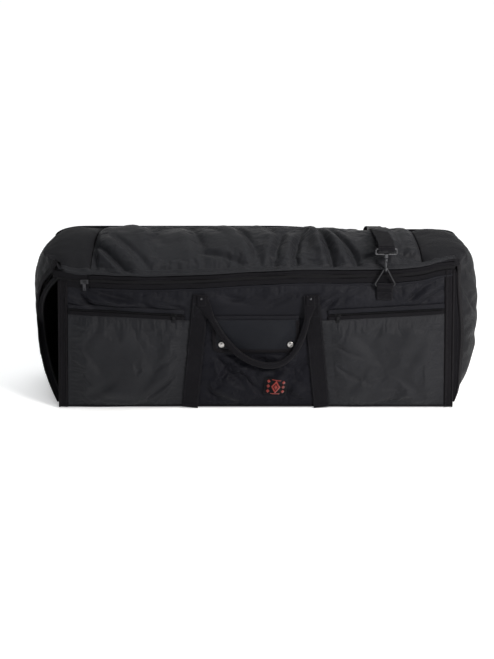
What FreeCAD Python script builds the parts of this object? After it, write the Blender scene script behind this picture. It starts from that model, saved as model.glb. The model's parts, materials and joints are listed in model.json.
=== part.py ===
"""Telescope carry case: a padded, soft-sided case with a front that opens downwards.

Frame: +X along the case's length, the front faces -Y, +Z up.  The origin is at the centre of the
base.  Millimetres.
"""
import FreeCAD, Part
import math
import os

V = FreeCAD.Vector
doc = FreeCAD.newDocument("telescope_carry_case")

SIZES = {
    # overall form
    "depth": 280, "base_half": 474, "end_half": 544, "rear_half": 520, "bulge_height": 180,
    "top_half": 486, "rim_height": 346, "dome_height": 394, "rear_height": 366,
    "shoulder_height": 340, "crown_height": 400,
    # wall layers
    "skin": 1.5, "foam": 8, "lining": 1, "seam_x": 385,
    # front door
    "door_gap": 13, "door_bottom": 2, "door_foam": 7, "door_taper": 14,
    "zip_height": 322, "zip_slope": 0.025, "tape": 17, "coil": 2.4, "coil_gap": 0.6,
    "coil_depth": 3, "zip_start": 384, "binding": 22, "binding_proud": 1.6,
    # open left rim
    "lens_radius": 155, "lens_depth": 115, "lens_height": 175, "rim_tape": 14,
    # pockets on the front
    "pocket_skin": 2, "pocket_height": 222, "pocket_rise": 0.055, "pocket_tape": 11,
    "pocket_inner": 170,
    # webbing strips and handles
    "webbing": 38, "webbing_skin": 2, "webbing_top": 281, "webbing_top_x": 128,
    "webbing_foot_x": 158, "handle_radius": 7.5, "handle_height": 266, "handle_out": 12,
    # centre flap
    "flap_half": 98, "flap_top": 220, "flap_foot": 144, "flap_skin": 1.5, "flap_edge": 5,
    "snap_x": 81, "snap_height": 162, "snap_radius": 7.5,
    # label
    "label_x": 45, "label_height": 62, "label_long": 54, "label_short": 42, "label_turn": 6,
    # strap hardware
    "anchor_x": 298, "ring_height": 305, "ring_half": 23, "ring_rise": 43, "ring_wire": 2,
    "ring_out": 12, "ring_lean": 4, "hook_wire": 2.2, "hook_half": 7, "eye_half": 24, "eye_wire": 1.8,
    "tab_drop": 35, "rear_ring_height": 255, "strap_skin": 1.8,
}
dims = doc.addObject("Spreadsheet::Sheet", "dims")
for row, (alias, value) in enumerate(SIZES.items(), 1):
    dims.set(f"A{row}", alias)
    dims.set(f"B{row}", str(value))
    dims.setAlias(f"B{row}", alias)
doc.recompute()


def size(alias):
    return float(dims.get(alias))


SUBPARTS = []


def keep(label, shape_object):
    """Marks an object of the document as a sub-part and gives it its name."""
    shape_object.Label = label
    SUBPARTS.append(shape_object)
    return shape_object


# ---------------------------------------------------------------- lines that the pieces share
FRONT = -size("depth") / 2
REAR = size("depth") / 2


def zip_z(x):
    """Height of the main zip's centre line."""
    return size("zip_height") + size("zip_slope") * x


def edge_x(z):
    """Half length of the door at height z."""
    return size("base_half") - 2 - size("door_taper") * z / size("rim_height")


def pocket_z(x):
    """Height of the pocket zips' centre line."""
    return size("pocket_height") + size("pocket_rise") * abs(x)


def webbing_x(z):
    """Distance of a webbing strip's centre line from the middle of the case."""
    foot = size("webbing_foot_x")
    return foot + (size("webbing_top_x") - foot) * z / size("webbing_top")


def under_zip(side, drop):
    """Where the door's slanted side edge meets a line that far under the zip."""
    z = zip_z(side * size("base_half")) - drop
    return side * edge_x(z), zip_z(side * edge_x(z)) - drop


# ---------------------------------------------------------------- ways of making pieces
def draw_polygon(sketch, outline):
    """Adds a closed outline; a corner that is a (start, middle, end) triple is an arc."""
    for here, there in zip(outline, outline[1:] + outline[:1]):
        start = here[-1] if isinstance(here[0], tuple) else here
        end = there[0] if isinstance(there[0], tuple) else there
        if isinstance(here[0], tuple):
            sketch.addGeometry(Part.Arc(*[V(x, y, 0) for x, y in here]))
        if math.dist(start, end) > 1e-6:
            sketch.addGeometry(Part.LineSegment(V(*start, 0), V(*end, 0)))


def plate(name, outline, back, thickness):
    """A flat piece parallel to the front: an x-z outline whose rear face is at y = back."""
    body = doc.addObject("PartDesign::Body", name)
    sketch = body.newObject("Sketcher::SketchObject", name + "_outline")
    plane = next(f for f in body.Origin.OriginFeatures if f.Role == "XZ_Plane")
    sketch.AttachmentSupport = [(plane, "")]
    sketch.MapMode = "FlatFace"
    sketch.setExpression("AttachmentOffset.Base.z", f"-({back})")
    draw_polygon(sketch, outline)
    pad = body.newObject("PartDesign::Pad", name + "_pad")
    pad.Profile = sketch
    pad.setExpression("Length", thickness)
    body.Tip = pad
    return body


def box(name, low, spans):
    """A box whose low corner and spans are expressions of the sheet."""
    block = doc.addObject("Part::Box", name)
    for prop, expression in zip(("Length", "Width", "Height"), spans):
        block.setExpression(prop, expression)
    for letter, expression in zip("xyz", low):
        block.setExpression(f"Placement.Base.{letter}", expression)
    return block


def disc(name, radius, height, place):
    """A cylinder along Y, its rear end at place."""
    post = doc.addObject("Part::Cylinder", name)
    post.setExpression("Radius", radius)
    post.setExpression("Height", height)
    post.Placement = FreeCAD.Placement(V(), FreeCAD.Rotation(V(1, 0, 0), 90))
    for letter, expression in zip("xyz", place):
        post.setExpression(f"Placement.Base.{letter}", expression)
    return post


def group(name, pieces):
    """Separate solids that share one node."""
    compound = doc.addObject("Part::Compound", name)
    compound.Links = pieces
    return compound


def cut(name, base, tool):
    difference = doc.addObject("Part::Cut", name)
    difference.Base = base
    difference.Tool = tool
    return difference


def common(name, shapes):
    meeting = doc.addObject("Part::MultiCommon", name)
    meeting.Shapes = shapes
    return meeting


def fuse(name, shapes):
    union = doc.addObject("Part::MultiFuse", name)
    union.Shapes = shapes
    return union


def feature(name, shape, placement=None):
    """A piece that neither sketches nor primitives describe, such as a bent tube."""
    item = doc.addObject("Part::Feature", name)
    item.Shape = shape
    if placement:
        item.Placement = placement
    return item


def rounded_wire(points, closed=False, radius=None):
    """Straight runs joined by tangent arcs, each as large as its two runs allow."""
    count = len(points)
    corners = range(count) if closed else range(1, count - 1)
    trims = {}
    for i in corners:
        before, here, after = points[i - 1], points[i], points[(i + 1) % count]
        run_in, run_out = here - before, after - here
        turn = run_in.getAngle(run_out)
        if turn < 1e-6:
            continue
        largest = 0.45 * min(run_in.Length, run_out.Length)
        trim = min(largest, radius * math.tan(turn / 2)) if radius else largest
        direction_in, direction_out = V(run_in).normalize(), V(run_out).normalize()
        start = here - direction_in * trim
        end = here + direction_out * trim
        bow = (direction_out - direction_in).normalize()
        arc_radius = trim / math.tan(turn / 2)
        middle = here + bow * (arc_radius / math.cos(turn / 2) - arc_radius)
        trims[i] = (start, middle, end)
    edges = []
    for i in range(count if closed else count - 1):
        start = trims[i][2] if i in trims else points[i]
        j = (i + 1) % count
        end = trims[j][0] if j in trims else points[j]
        edges.append(Part.LineSegment(start, end).toShape())
        if j in trims:
            edges.append(Part.Arc(*trims[j]).toShape())
    return Part.Wire(Part.__sortEdges__(edges))


def tube(points, radius, closed=False, bend=None):
    """A round bar or rolled webbing along rounded_wire."""
    path = rounded_wire(points, closed, bend)
    first = path.OrderedEdges[0]
    tangent = first.tangentAt(first.FirstParameter)
    circle = Part.Wire(Part.makeCircle(radius, first.valueAt(first.FirstParameter), tangent))
    return path.makePipeShell([circle], True, True)


# ---------------------------------------------------------------- the tub's nested forms
def master_sketch(name, outline, rotation, base):
    sketch = doc.addObject("Sketcher::SketchObject", name)
    draw_polygon(sketch, outline)
    sketch.Placement = FreeCAD.Placement(base, rotation)
    return sketch


TO_XZ = FreeCAD.Rotation(V(1, 0, 0), 90)
TO_YZ = FreeCAD.Rotation(V(1, 1, 1), 120)


def plan_outline(inset):
    base, end, rear = (size(a) - inset for a in ("base_half", "end_half", "rear_half"))
    front, back = FRONT + inset, REAR - inset
    return [((base, front), (end, 0.1 * REAR), (rear, back)),
            ((-rear, back), (-end, 0.1 * REAR), (-base, front))]


def side_outline(inset):
    front, back = FRONT + inset, REAR - inset
    rear, dome, rim = (size(a) - inset for a in ("rear_height", "dome_height", "rim_height"))
    return [(front, inset), (back, inset), ((back, rear), (-0.05 * REAR, dome), (front, rim))]


def front_outline(inset):
    base, end, top = (size(a) - inset for a in ("base_half", "end_half", "top_half"))
    shoulder, crown = (size(a) - inset for a in ("shoulder_height", "crown_height"))
    return [((base, inset), (end, size("bulge_height")), (top + 28, shoulder)),
            ((top + 28, shoulder), (top + 8, shoulder + 38), (top - 30, crown)),
            ((-top + 30, crown), (-top - 8, shoulder + 38), (-top - 28, shoulder)),
            ((-top - 28, shoulder), (-end, size("bulge_height")), (-base, inset))]


# distances clear of the case, for forms and tools that must run past it
BEYOND, BEHIND, BELOW = 620, 300, 10
VIEWS = (
    ("plan", plan_outline, FreeCAD.Rotation(), V(0, 0, -BELOW), V(0, 0, 1), BEYOND),
    ("side", side_outline, TO_YZ, V(-BEYOND, 0, 0), V(1, 0, 0), 2 * BEYOND),
    ("front", front_outline, TO_XZ, V(0, BEHIND, 0), V(0, -1, 0), 2 * BEHIND),
)


def nested_form(name, inset):
    """The tub's solid form: what its plan, side and front views share, inset on every side."""
    solids = []
    for view, outline, rotation, base, direction, length in VIEWS:
        sketch = master_sketch(f"{name}_{view}", outline(inset), rotation, base)
        solid = doc.addObject("Part::Extrusion", f"{name}_{view}_solid")
        solid.Base = sketch
        solid.DirMode = "Custom"
        solid.Dir = direction
        solid.LengthFwd = length
        solid.Solid = True
        solids.append(solid)
    return common(name, solids)


outer = nested_form("outer_form", 0)
inside_skin = nested_form("inside_skin", size("skin"))
inside_foam = nested_form("inside_foam", size("skin") + size("foam"))
inside_lining = nested_form("inside_lining",
                            size("skin") + size("foam") + size("lining"))

door_space = plate("door_space", [
    (-BEYOND, -BELOW), (BEYOND, -BELOW),
    (BEYOND, zip_z(BEYOND) + size("tape")), (-BEYOND, zip_z(-BEYOND) + size("tape")),
], "-dims.depth / 2 + dims.door_gap", "40")


def rim_cylinder(name, extra):
    """The round bite out of the left end's front rim, which hangs open while unzipped."""
    rod = doc.addObject("Part::Cylinder", name)
    rod.setExpression("Radius", f"dims.lens_radius + {extra}")
    rod.setExpression("Height", "dims.end_half + 60 - dims.seam_x")
    rod.Placement = FreeCAD.Placement(V(), FreeCAD.Rotation(V(0, 1, 0), 90))
    rod.setExpression("Placement.Base.x", "-dims.end_half - 60")
    rod.setExpression("Placement.Base.y",
                      "-dims.depth / 2 + dims.door_gap + dims.lens_depth - dims.lens_radius")
    rod.setExpression("Placement.Base.z", "dims.lens_height")
    return rod


open_rim = rim_cylinder("open_rim", 0)
open_rim_tape = rim_cylinder("open_rim_tape", "dims.rim_tape")
front_cut = fuse("front_cut", [door_space, open_rim])
front_cut_tape = fuse("front_cut_tape", [door_space, open_rim_tape])

skin_shell = cut("skin_shell", cut("whole_skin", outer, inside_skin), front_cut_tape)
foam_shell = cut("foam_shell", cut("whole_foam", inside_skin, inside_foam), front_cut)
keep("tub_lining", cut("tub_lining", cut("whole_lining", inside_foam, inside_lining), front_cut))

FAR = str(BEYOND)
WIDE = str(2 * BEYOND)
AHEAD = str(-BEHIND)
UNDER = str(-BELOW)
CELLS = {
    # name: low corner and spans; the bottom runs the whole length, the ends go to the seams
    "bottom": (("-" + FAR, AHEAD, UNDER), (WIDE, FAR, f"{BELOW} + LAYER")),
    "left_end": (("-" + FAR, AHEAD, "LAYER"), (FAR + " - dims.seam_x", FAR, FAR)),
    "right_end": (("dims.seam_x", AHEAD, "LAYER"), (FAR + " - dims.seam_x", FAR, FAR)),
    "back": (("-dims.seam_x", "100", "LAYER"), ("2 * dims.seam_x", "100",
                                                "dims.rear_height - LAYER - 6")),
}


def shell_pieces(shell, suffix, layer):
    """Cuts a shell into its sewn or glued pieces; what the cells leave is the top."""
    cells = []
    for name, (low, spans) in CELLS.items():
        low = [e.replace("LAYER", layer) for e in low]
        spans = [e.replace("LAYER", layer) for e in spans]
        cell = box(f"{name}_{suffix}_cell", low, spans)
        cells.append(cell)
        keep(f"{name}_{suffix}", common(f"{name}_{suffix}", [shell, cell]))
    taken = fuse(f"{suffix}_cells", cells)
    keep(f"top_{suffix}", cut(f"top_{suffix}", shell, taken))


shell_pieces(skin_shell, "panel", "dims.skin")
shell_pieces(foam_shell, "foam", "(dims.skin + dims.foam)")

# ---------------------------------------------------------------- the main zip
TAPE, GAP, COIL = size("tape"), size("coil_gap"), size("coil")
START, FINISH = -size("zip_start"), size("base_half") - 16


def zip_band(x_from, x_to, low, high):
    """A strip that follows the main zip between two distances from its centre line."""
    return [(x_from, zip_z(x_from) + low), (x_to, zip_z(x_to) + low),
            (x_to, zip_z(x_to) + high), (x_from, zip_z(x_from) + high)]


def edge_band(side, z_low, z_high, inner, outer_edge):
    """A strip along the door's slanted side edge; distances are outwards from the edge."""
    return [(side * (edge_x(z_low) + inner), z_low), (side * (edge_x(z_low) + outer_edge), z_low),
            (side * (edge_x(z_high) + outer_edge), z_high),
            (side * (edge_x(z_high) + inner), z_high)]


TAPE_BACK = "-dims.depth / 2 + dims.skin"
COIL_BACK = "-dims.depth / 2 + 2"
SIDE_BACK = "-dims.depth / 2 + dims.door_gap"
SIDE_TOP = 300
open_tape = common("open_tape", [cut("open_tape_ring", open_rim_tape, open_rim),
                                 cut("open_tape_skin", doc.getObject("whole_skin"),
                                     door_space)])
keep("tub_zip_tape", group("tub_zip_tape", [
    plate("tub_tape_top", zip_band(START, FINISH, COIL + GAP, TAPE), TAPE_BACK, "dims.skin"),
    plate("tub_tape_right", edge_band(1, 12, SIDE_TOP, 1, 12), SIDE_BACK, "dims.skin"),
    open_tape,
]))
keep("tub_zip_coil", group("tub_zip_coil", [
    plate("tub_coil_top", zip_band(START, FINISH, GAP, GAP + COIL), COIL_BACK, "dims.coil_depth"),
    plate("tub_coil_right", edge_band(1, 12, SIDE_TOP, 1, 3.4),
          SIDE_BACK + " - dims.skin", "2"),
]))
keep("door_zip_tape", plate("door_zip_tape", zip_band(START, FINISH, -TAPE, -COIL - GAP),
                            TAPE_BACK, "dims.skin"))
keep("door_zip_coil", group("door_zip_coil", [
    plate("door_coil_top", zip_band(START, FINISH, -GAP - COIL, -GAP), COIL_BACK,
          "dims.coil_depth"),
    plate("door_coil_right", edge_band(1, 12, SIDE_TOP, -2, 0.4),
          "-dims.depth / 2 + dims.skin + dims.door_foam + dims.lining + 1.8", "1.8"),
    plate("door_coil_left", edge_band(-1, 12, SIDE_TOP, -2, 0.4),
          "-dims.depth / 2 + dims.skin + dims.door_foam + dims.lining + 1.8", "1.8"),
]))

# ---------------------------------------------------------------- the door
BOTTOM = size("door_bottom")


def door_outline(inset, top_drop):
    left, right = under_zip(-1, top_drop), under_zip(1, top_drop)
    low = BOTTOM + inset
    return [(-edge_x(low) + inset, low), (edge_x(low) - inset, low),
            (right[0] - inset, right[1]), (left[0] + inset, left[1])]


keep("front_panel", plate("front_panel", door_outline(0, TAPE), TAPE_BACK, "dims.skin"))
keep("door_foam", plate("door_foam", door_outline(6, 9), TAPE_BACK + " + dims.door_foam",
                        "dims.door_foam"))
keep("door_lining", plate("door_lining", door_outline(0, 9),
                          TAPE_BACK + " + dims.door_foam + dims.lining", "dims.lining"))
FACE = "-dims.depth / 2"
for side, name in ((-1, "left_door_binding"), (1, "right_door_binding")):
    top = under_zip(side, TAPE)[1] - 1
    band = edge_band(side, BOTTOM, top, -size("binding"), 0)
    keep(name, plate(name, band, FACE, "dims.binding_proud"))

# pockets: a flat patch of fabric with a zip across its top
INNER = size("pocket_inner")
BAND = size("pocket_tape")
POCKET_FRONT = FACE + " - dims.pocket_skin"


def pocket_end(z):
    """Where a pocket stops short of the door's binding at height z."""
    return edge_x(z) - size("binding") - 0.5


def pocket_band(side, low, high):
    outer_x = pocket_end(pocket_z(pocket_end(240)) + high)
    return [(side * INNER, pocket_z(INNER) + low), (side * outer_x, pocket_z(outer_x) + low),
            (side * outer_x, pocket_z(outer_x) + high), (side * INNER, pocket_z(INNER) + high)]


for side, name in ((-1, "left_pocket"), (1, "right_pocket")):
    band = pocket_band(side, -BAND, -BAND)
    panel = [(side * (webbing_x(4) + 20), 4), (side * pocket_end(4), 4), band[1], band[0]]
    keep(name + "_panel", plate(name + "_panel", panel, FACE, "dims.pocket_skin"))
    keep(name + "_tape", plate(name + "_tape", pocket_band(side, -BAND, BAND), FACE, "dims.skin"))
    keep(name + "_coil", plate(name + "_coil", pocket_band(side, -2, 2),
                               FACE + " - dims.skin", "dims.skin"))

# webbing strips that run down the front and the rear, leaning outwards
HALF = size("webbing") / 2


def webbing_outline(side, foot):
    top = size("webbing_top")
    return [(side * (webbing_x(foot) - HALF), foot), (side * (webbing_x(foot) + HALF), foot),
            (side * (webbing_x(top) + HALF), top), (side * (webbing_x(top) - HALF), top)]


for side, name in ((-1, "left"), (1, "right")):
    keep(name + "_front_webbing", plate(name + "_front_webbing", webbing_outline(side, 4),
                                        FACE, "dims.webbing_skin"))
    keep(name + "_rear_webbing", plate(name + "_rear_webbing", webbing_outline(side, 4),
                                       "dims.depth / 2 + dims.webbing_skin", "dims.webbing_skin"))

centre = [(-webbing_x(4) + HALF + 0.5, 4), (webbing_x(4) - HALF - 0.5, 4),
          (webbing_x(222) - HALF - 0.5, 222), (-webbing_x(222) + HALF + 0.5, 222)]
keep("centre_pocket_panel", plate("centre_pocket_panel", centre, FACE, "dims.pocket_skin"))

label = box("label_patch", ("dims.label_x - dims.label_long / 2", POCKET_FRONT + " - 0.8",
                            "dims.label_height - dims.label_short / 2"),
            ("dims.label_long", "0.8", "dims.label_short"))
label.Placement.Rotation = FreeCAD.Rotation(V(0, 1, 0), size("label_turn"))
keep("label_patch", label)

# ---------------------------------------------------------------- centre flap and its snaps
FLAP_BACK = POCKET_FRONT + " - 2.5"
FLAP_FRONT = FLAP_BACK + " - dims.flap_skin"
keep("centre_flap", box("centre_flap",
                        ("-dims.flap_half", FLAP_FRONT, "dims.flap_foot + dims.flap_edge"),
                        ("2 * dims.flap_half", "dims.flap_skin",
                         "dims.flap_top - dims.flap_foot - dims.flap_edge")))
keep("flap_binding", box("flap_binding",
                         ("-dims.flap_half", FLAP_FRONT + " - 0.6", "dims.flap_foot"),
                         ("2 * dims.flap_half", "dims.flap_skin + 1.2", "dims.flap_edge")))
keep("snap_caps", group("snap_caps", [
    disc(f"{name}_snap_cap", "dims.snap_radius", "2",
         (f"{side} * dims.snap_x", FLAP_FRONT, "dims.snap_height"))
    for side, name in ((-1, "left"), (1, "right"))]))
keep("snap_studs", group("snap_studs", [
    disc(f"{name}_snap_stud", "dims.snap_radius - 2", "2.2",
         (f"{side} * dims.snap_x", POCKET_FRONT, "dims.snap_height"))
    for side, name in ((-1, "left"), (1, "right"))]))

# ---------------------------------------------------------------- grab handles
RIVET_Z = "dims.handle_height + 8"
rivets = []
for face, name in ((-1, "front"), (1, "rear")):
    for side, hand in ((-1, "left"), (1, "right")):
        inner_end = POCKET_FRONT if face < 0 else "dims.depth / 2 + dims.webbing_skin + 2"
        rivets.append(disc(f"{name}_{hand}_rivet", "3.5", "2",
                           (f"{side} * (dims.webbing_top_x - 1)", inner_end, RIVET_Z)))
keep("front_handle_rivets", group("front_handle_rivets", rivets[:2]))
keep("rear_handle_rivets", group("rear_handle_rivets", rivets[2:]))


def handle_route(face, lean):
    """A hanging loop of rolled webbing: x, distance out from the wall, and z."""
    top, out = size("handle_height") - 3, size("handle_out")
    route = [(-124, out, top), (-104, out + 2, 228), (-68, out + 7, 164), (-14, out + 11, 119),
             (52, out + 12, 108), (97, out + 8, 146), (118, out + 3, 214), (126, out, top)]
    return [V(lean * x, face * (REAR + distance), z) for x, distance, z in route]


for face, name, lean in ((-1, "front_handle", 1), (1, "rear_handle", -1)):
    keep(name, feature(name, tube(handle_route(face, lean), size("handle_radius"))))

# ---------------------------------------------------------------- zip sliders and their pulls
PLATE = 1.6
BAIL = 4.4
MAIN_CHANNEL = size("coil_depth") + 0.8


def slider(name, x, z, tilt, coil_front, channel, half, long):
    """Two plates, before and behind the coil, joined by a thin post that parts its halves."""
    front = Part.makeBox(long, PLATE, 2 * half, V(-long / 2, -PLATE - 0.4, -half))
    back = Part.makeBox(long, PLATE, 2 * half, V(-long / 2, channel - 0.4, -half))
    post = Part.makeBox(long / 3, channel + 0.2, 2 * GAP - 0.4,
                        V(-long / 2, -0.5, -GAP + 0.2))
    bail = tube([V(-long / 4, -PLATE - 0.2, 0), V(-long / 4, -PLATE - BAIL, 0),
                 V(long / 4, -PLATE - BAIL, 0), V(long / 4, -PLATE - 0.2, 0)], 0.8, bend=1.2)
    body = front.fuse([post, back, bail]) if channel > 2 else front.fuse([bail])
    place = FreeCAD.Placement(V(x, coil_front, z), FreeCAD.Rotation(V(0, 1, 0), -tilt))
    return keep(name, feature(name, body.removeSplitter(), place))


def pull(name, x, coil_front, z, long):
    """A flat zip pull that hangs by a small ring from the slider's bail."""
    ring = Part.makeTorus(2.2, 0.7, V(0, 0, -0.6), V(1, 0, 0))
    blade = Part.makeBox(7, 1.2, long, V(-3.5, -0.6, -long - 2.6))
    hole = Part.makeCylinder(1.6, 4, V(0, 2, -long + 1), V(0, -1, 0))
    shape = ring.fuse(blade).cut(hole).removeSplitter()
    place = FreeCAD.Placement(V(x, coil_front - PLATE - BAIL, z), FreeCAD.Rotation())
    return keep(name, feature(name, shape, place))


TILT = math.degrees(math.atan(size("zip_slope")))
POCKET_TILT = math.degrees(math.atan(size("pocket_rise")))
MAIN_X = START - 14
MAIN_Y = FRONT + 2 - size("coil_depth")
slider("main_slider", MAIN_X, zip_z(MAIN_X), TILT, MAIN_Y, MAIN_CHANNEL, 5, 18)
pull("main_pull", MAIN_X, MAIN_Y, zip_z(MAIN_X), 17)
POCKET_Y = FRONT - 2 * size("skin")
POCKET_X = INNER + 22
for side, name in ((-1, "left_pocket"), (1, "right_pocket")):
    slider(name + "_slider", side * POCKET_X, pocket_z(POCKET_X), side * POCKET_TILT,
           POCKET_Y, 0, 4, 13)
    pull(name + "_pull", side * POCKET_X, POCKET_Y, pocket_z(POCKET_X), 14)

# ---------------------------------------------------------------- strap hardware
ANCHOR, RING_Z = size("anchor_x"), size("ring_height")
RING_Y = FRONT - size("ring_out")
APEX_Y = RING_Y - size("ring_lean")
HOOK, WIRE = size("hook_half"), size("hook_wire")
RISE = size("ring_rise")


def anchor_tab():
    """Folded webbing that leans out to a sleeve for the ring's base."""
    drop, wide = size("tab_drop"), size("webbing")
    leaf = [(FRONT, RING_Z - drop), (FRONT - 3, RING_Z - drop), (FRONT - 3, RING_Z - 13),
            (RING_Y - 3.5, RING_Z - 2), (RING_Y + 2, RING_Z + 3), (FRONT, RING_Z - 8)]
    wire = Part.makePolygon([V(-wide / 2, y, z) for y, z in leaf + leaf[:1]])
    web = Part.Face(wire).extrude(V(wide, 0, 0))
    sleeve = Part.makeCylinder(4.2, wide - 8, V(4 - wide / 2, RING_Y, RING_Z), V(1, 0, 0))
    bore = Part.makeCylinder(2.3, 2 * wide, V(-wide, RING_Y, RING_Z), V(1, 0, 0))
    notch = Part.makeCylinder(5.5, 4, V(0, RING_Y, RING_Z), V(1, 0, 0))
    whole = web.fuse(sleeve).cut(bore)
    for x in (-wide / 2, wide / 2 - 4):
        whole = whole.cut(notch.translated(V(x, 0, 0)))
    return whole.removeSplitter()


def triangle_ring():
    """A bent wire triangle that leans a little outwards to its apex."""
    half = size("ring_half")
    apex = V(0, APEX_Y, RING_Z + RISE + 5)
    base = [V(-half - 3, RING_Y, RING_Z), V(half + 3, RING_Y, RING_Z)]
    start = V(0, RING_Y, RING_Z)
    return tube([start, base[1], apex, base[0]], size("ring_wire"), closed=True, bend=5.5)


BOW_LOW = RING_Z + RISE - 5.5
GATE_Z = BOW_LOW + 21
STEM_TOP = BOW_LOW + 36.5


def snap_hook():
    """A bent bow with its mouth in front, and a stem that turns in the eye's barrel."""
    points = [V(0, APEX_Y, STEM_TOP), V(0, APEX_Y, BOW_LOW + 27),
              V(0, APEX_Y + HOOK, BOW_LOW + 20), V(0, APEX_Y + HOOK, BOW_LOW),
              V(0, APEX_Y - HOOK, BOW_LOW), V(0, APEX_Y - HOOK, BOW_LOW + 9)]
    bow = tube(points, WIRE, bend=6.5)
    knuckle = Part.makeBox(2 * WIRE, 12, 5, V(-WIRE, APEX_Y - HOOK - 1, GATE_Z + 2.6))
    return bow.fuse(knuckle).removeSplitter()


def hook_gate():
    return Part.makeCylinder(1.7, 11, V(0, APEX_Y - HOOK, BOW_LOW + 9.6), V(0, 0, 1))


def strap_eye():
    """A wire rectangle for the strap on a short barrel for the hook's stem."""
    half, wire = size("eye_half"), size("eye_wire")
    low, high = STEM_TOP + 2, STEM_TOP + 14
    frame = tube([V(-half, APEX_Y, low), V(half, APEX_Y, low), V(half, APEX_Y, high),
                  V(-half, APEX_Y, high)], wire, closed=True, bend=3)
    barrel = Part.makeCylinder(5.2, 9, V(0, APEX_Y, STEM_TOP - 6), V(0, 0, 1))
    bore = Part.makeCylinder(WIRE + 0.1, 6.2, V(0, APEX_Y, STEM_TOP - 6), V(0, 0, 1))
    return frame.fuse(barrel).cut(bore).removeSplitter()


FRONT_PLACE = FreeCAD.Placement(V(ANCHOR, 0, 0), FreeCAD.Rotation())
REAR_SHIFT = size("rear_ring_height") + RING_Z
REAR_PLACE = FreeCAD.Placement(V(-ANCHOR, 0, REAR_SHIFT), FreeCAD.Rotation(V(1, 0, 0), 180))
for where, place in (("front", FRONT_PLACE), ("rear", REAR_PLACE)):
    keep(where + "_tab", feature(where + "_tab", anchor_tab(), place))
    keep(where + "_ring", feature(where + "_ring", triangle_ring(), place))
    keep(where + "_hook", feature(where + "_hook", snap_hook(), place))
    keep(where + "_hook_gate", feature(where + "_hook_gate", hook_gate(), place))
    keep(where + "_eye", feature(where + "_eye", strap_eye(), place))

# ---------------------------------------------------------------- shoulder strap
EYE_Z = STEM_TOP + 14
OVER = [  # x, y, z along the strap where it lies flat, from the front eye over the top
    (298, APEX_Y, EYE_Z + 4.5), (298, -147, EYE_Z + 9), (298, -128, EYE_Z + 13),
    (298, -80, EYE_Z + 14), (298, -30, EYE_Z + 12), (297, 30, EYE_Z + 8), (296, 90, EYE_Z),
    (295, 126, EYE_Z - 7), (294, 150, EYE_Z - 22), (293, 160, EYE_Z - 50),
]
HANG = [  # the slack loop behind the case
    (290, 163, 300), (283, 166, 235), (264, 166, 160), (225, 166, 98), (158, 166, 56),
    (72, 166, 38), (-20, 166, 33), (-110, 166, 40), (-190, 166, 58), (-252, 165, 88),
    (-288, 161, 122), (-298, -APEX_Y, REAR_SHIFT - EYE_Z - 4.5),
]


def strap_section(centre, along, across):
    """A rectangle of webbing square to the strap's run."""
    across = (across - along * across.dot(along)).normalize()
    normal = along.cross(across).normalize()
    half, thin = across * HALF * 0.98, normal * (size("strap_skin") / 2)
    corners = [centre + half + thin, centre - half + thin, centre - half - thin,
               centre + half - thin]
    return Part.makePolygon(corners + corners[:1])


def strap_shape():
    """A ruled band through sections along a smooth line; it turns edgewise as it hangs."""
    line = Part.BSplineCurve()
    line.interpolate([V(*p) for p in OVER + HANG])
    first, last = line.FirstParameter, line.LastParameter
    twist_from = line.parameter(V(*OVER[-1]))
    twist_to = line.parameter(V(*HANG[3]))
    back_from = line.parameter(V(*HANG[-4]))
    sections = []
    count = 64
    for i in range(count + 1):
        at = first + (last - first) * i / count
        turn = min(max((at - twist_from) / (twist_to - twist_from), 0), 1)
        turn -= min(max((at - back_from) / (last - back_from), 0), 1)
        angle = math.pi / 2 * turn * turn * (3 - 2 * turn)
        across = V(math.cos(angle), math.sin(angle), 0)
        sections.append(strap_section(line.value(at), V(*line.tangent(at)[0]), across))
    band = Part.makeLoft(sections, True, True)
    loops = []
    for x, y, z in ((ANCHOR, APEX_Y, EYE_Z), (-ANCHOR, -APEX_Y, REAR_SHIFT - EYE_Z)):
        wide = size("webbing") * 0.98
        sleeve = Part.makeCylinder(4.6, wide, V(x - wide / 2, y, z), V(1, 0, 0))
        loops.append(sleeve)
    whole = band.fuse(loops)
    for x, y, z in ((ANCHOR, APEX_Y, EYE_Z), (-ANCHOR, -APEX_Y, REAR_SHIFT - EYE_Z)):
        bore = Part.makeCylinder(size("eye_wire") + 0.3, 60, V(x - 30, y, z), V(1, 0, 0))
        whole = whole.cut(bore)
    return whole


keep("strap_webbing", feature("strap_webbing", strap_shape()))


def adjuster_shape():
    """A flat slide that the strap runs through, lying across it."""
    wide, long, thick = size("webbing") + 8, 24, 6
    frame = Part.makeBox(wide, long, thick, V(-wide / 2, -long / 2, -thick / 2))
    slot = Part.makeBox(size("webbing") + 1, 2 * long, 3.2, V(-HALF - 0.5, -long, -1.6))
    for side in (-1, 1):
        window = Part.makeBox(size("webbing"), 6, 2 * thick, V(-HALF, side * 6 - 3, -thick))
        frame = frame.cut(window)
    return frame.cut(slot)


def adjuster_place():
    """Over the top of the case, in line with the strap there."""
    run = V(*OVER[6]) - V(*OVER[4])
    turn = FreeCAD.Rotation(V(0, 1, 0), run)
    return FreeCAD.Placement(V(*OVER[5]), turn)


keep("strap_adjuster", feature("strap_adjuster", adjuster_shape(), adjuster_place()))


def piping_shape():
    """A round cord sewn in along the top rear edge and down into the ends."""
    top, half = size("rear_height") + 1, size("rear_half")
    points = [V(-half + 4, REAR + 1, 300), V(-half + 22, REAR + 1, top - 4),
              V(-half + 90, REAR + 1, top), V(half - 90, REAR + 1, top),
              V(half - 22, REAR + 1, top - 4), V(half - 4, REAR + 1, 300)]
    return tube(points, 2.6)


rear_cord = feature("piping_cord", piping_shape())
keep("rear_piping", cut("rear_piping", rear_cord, outer))

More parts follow.
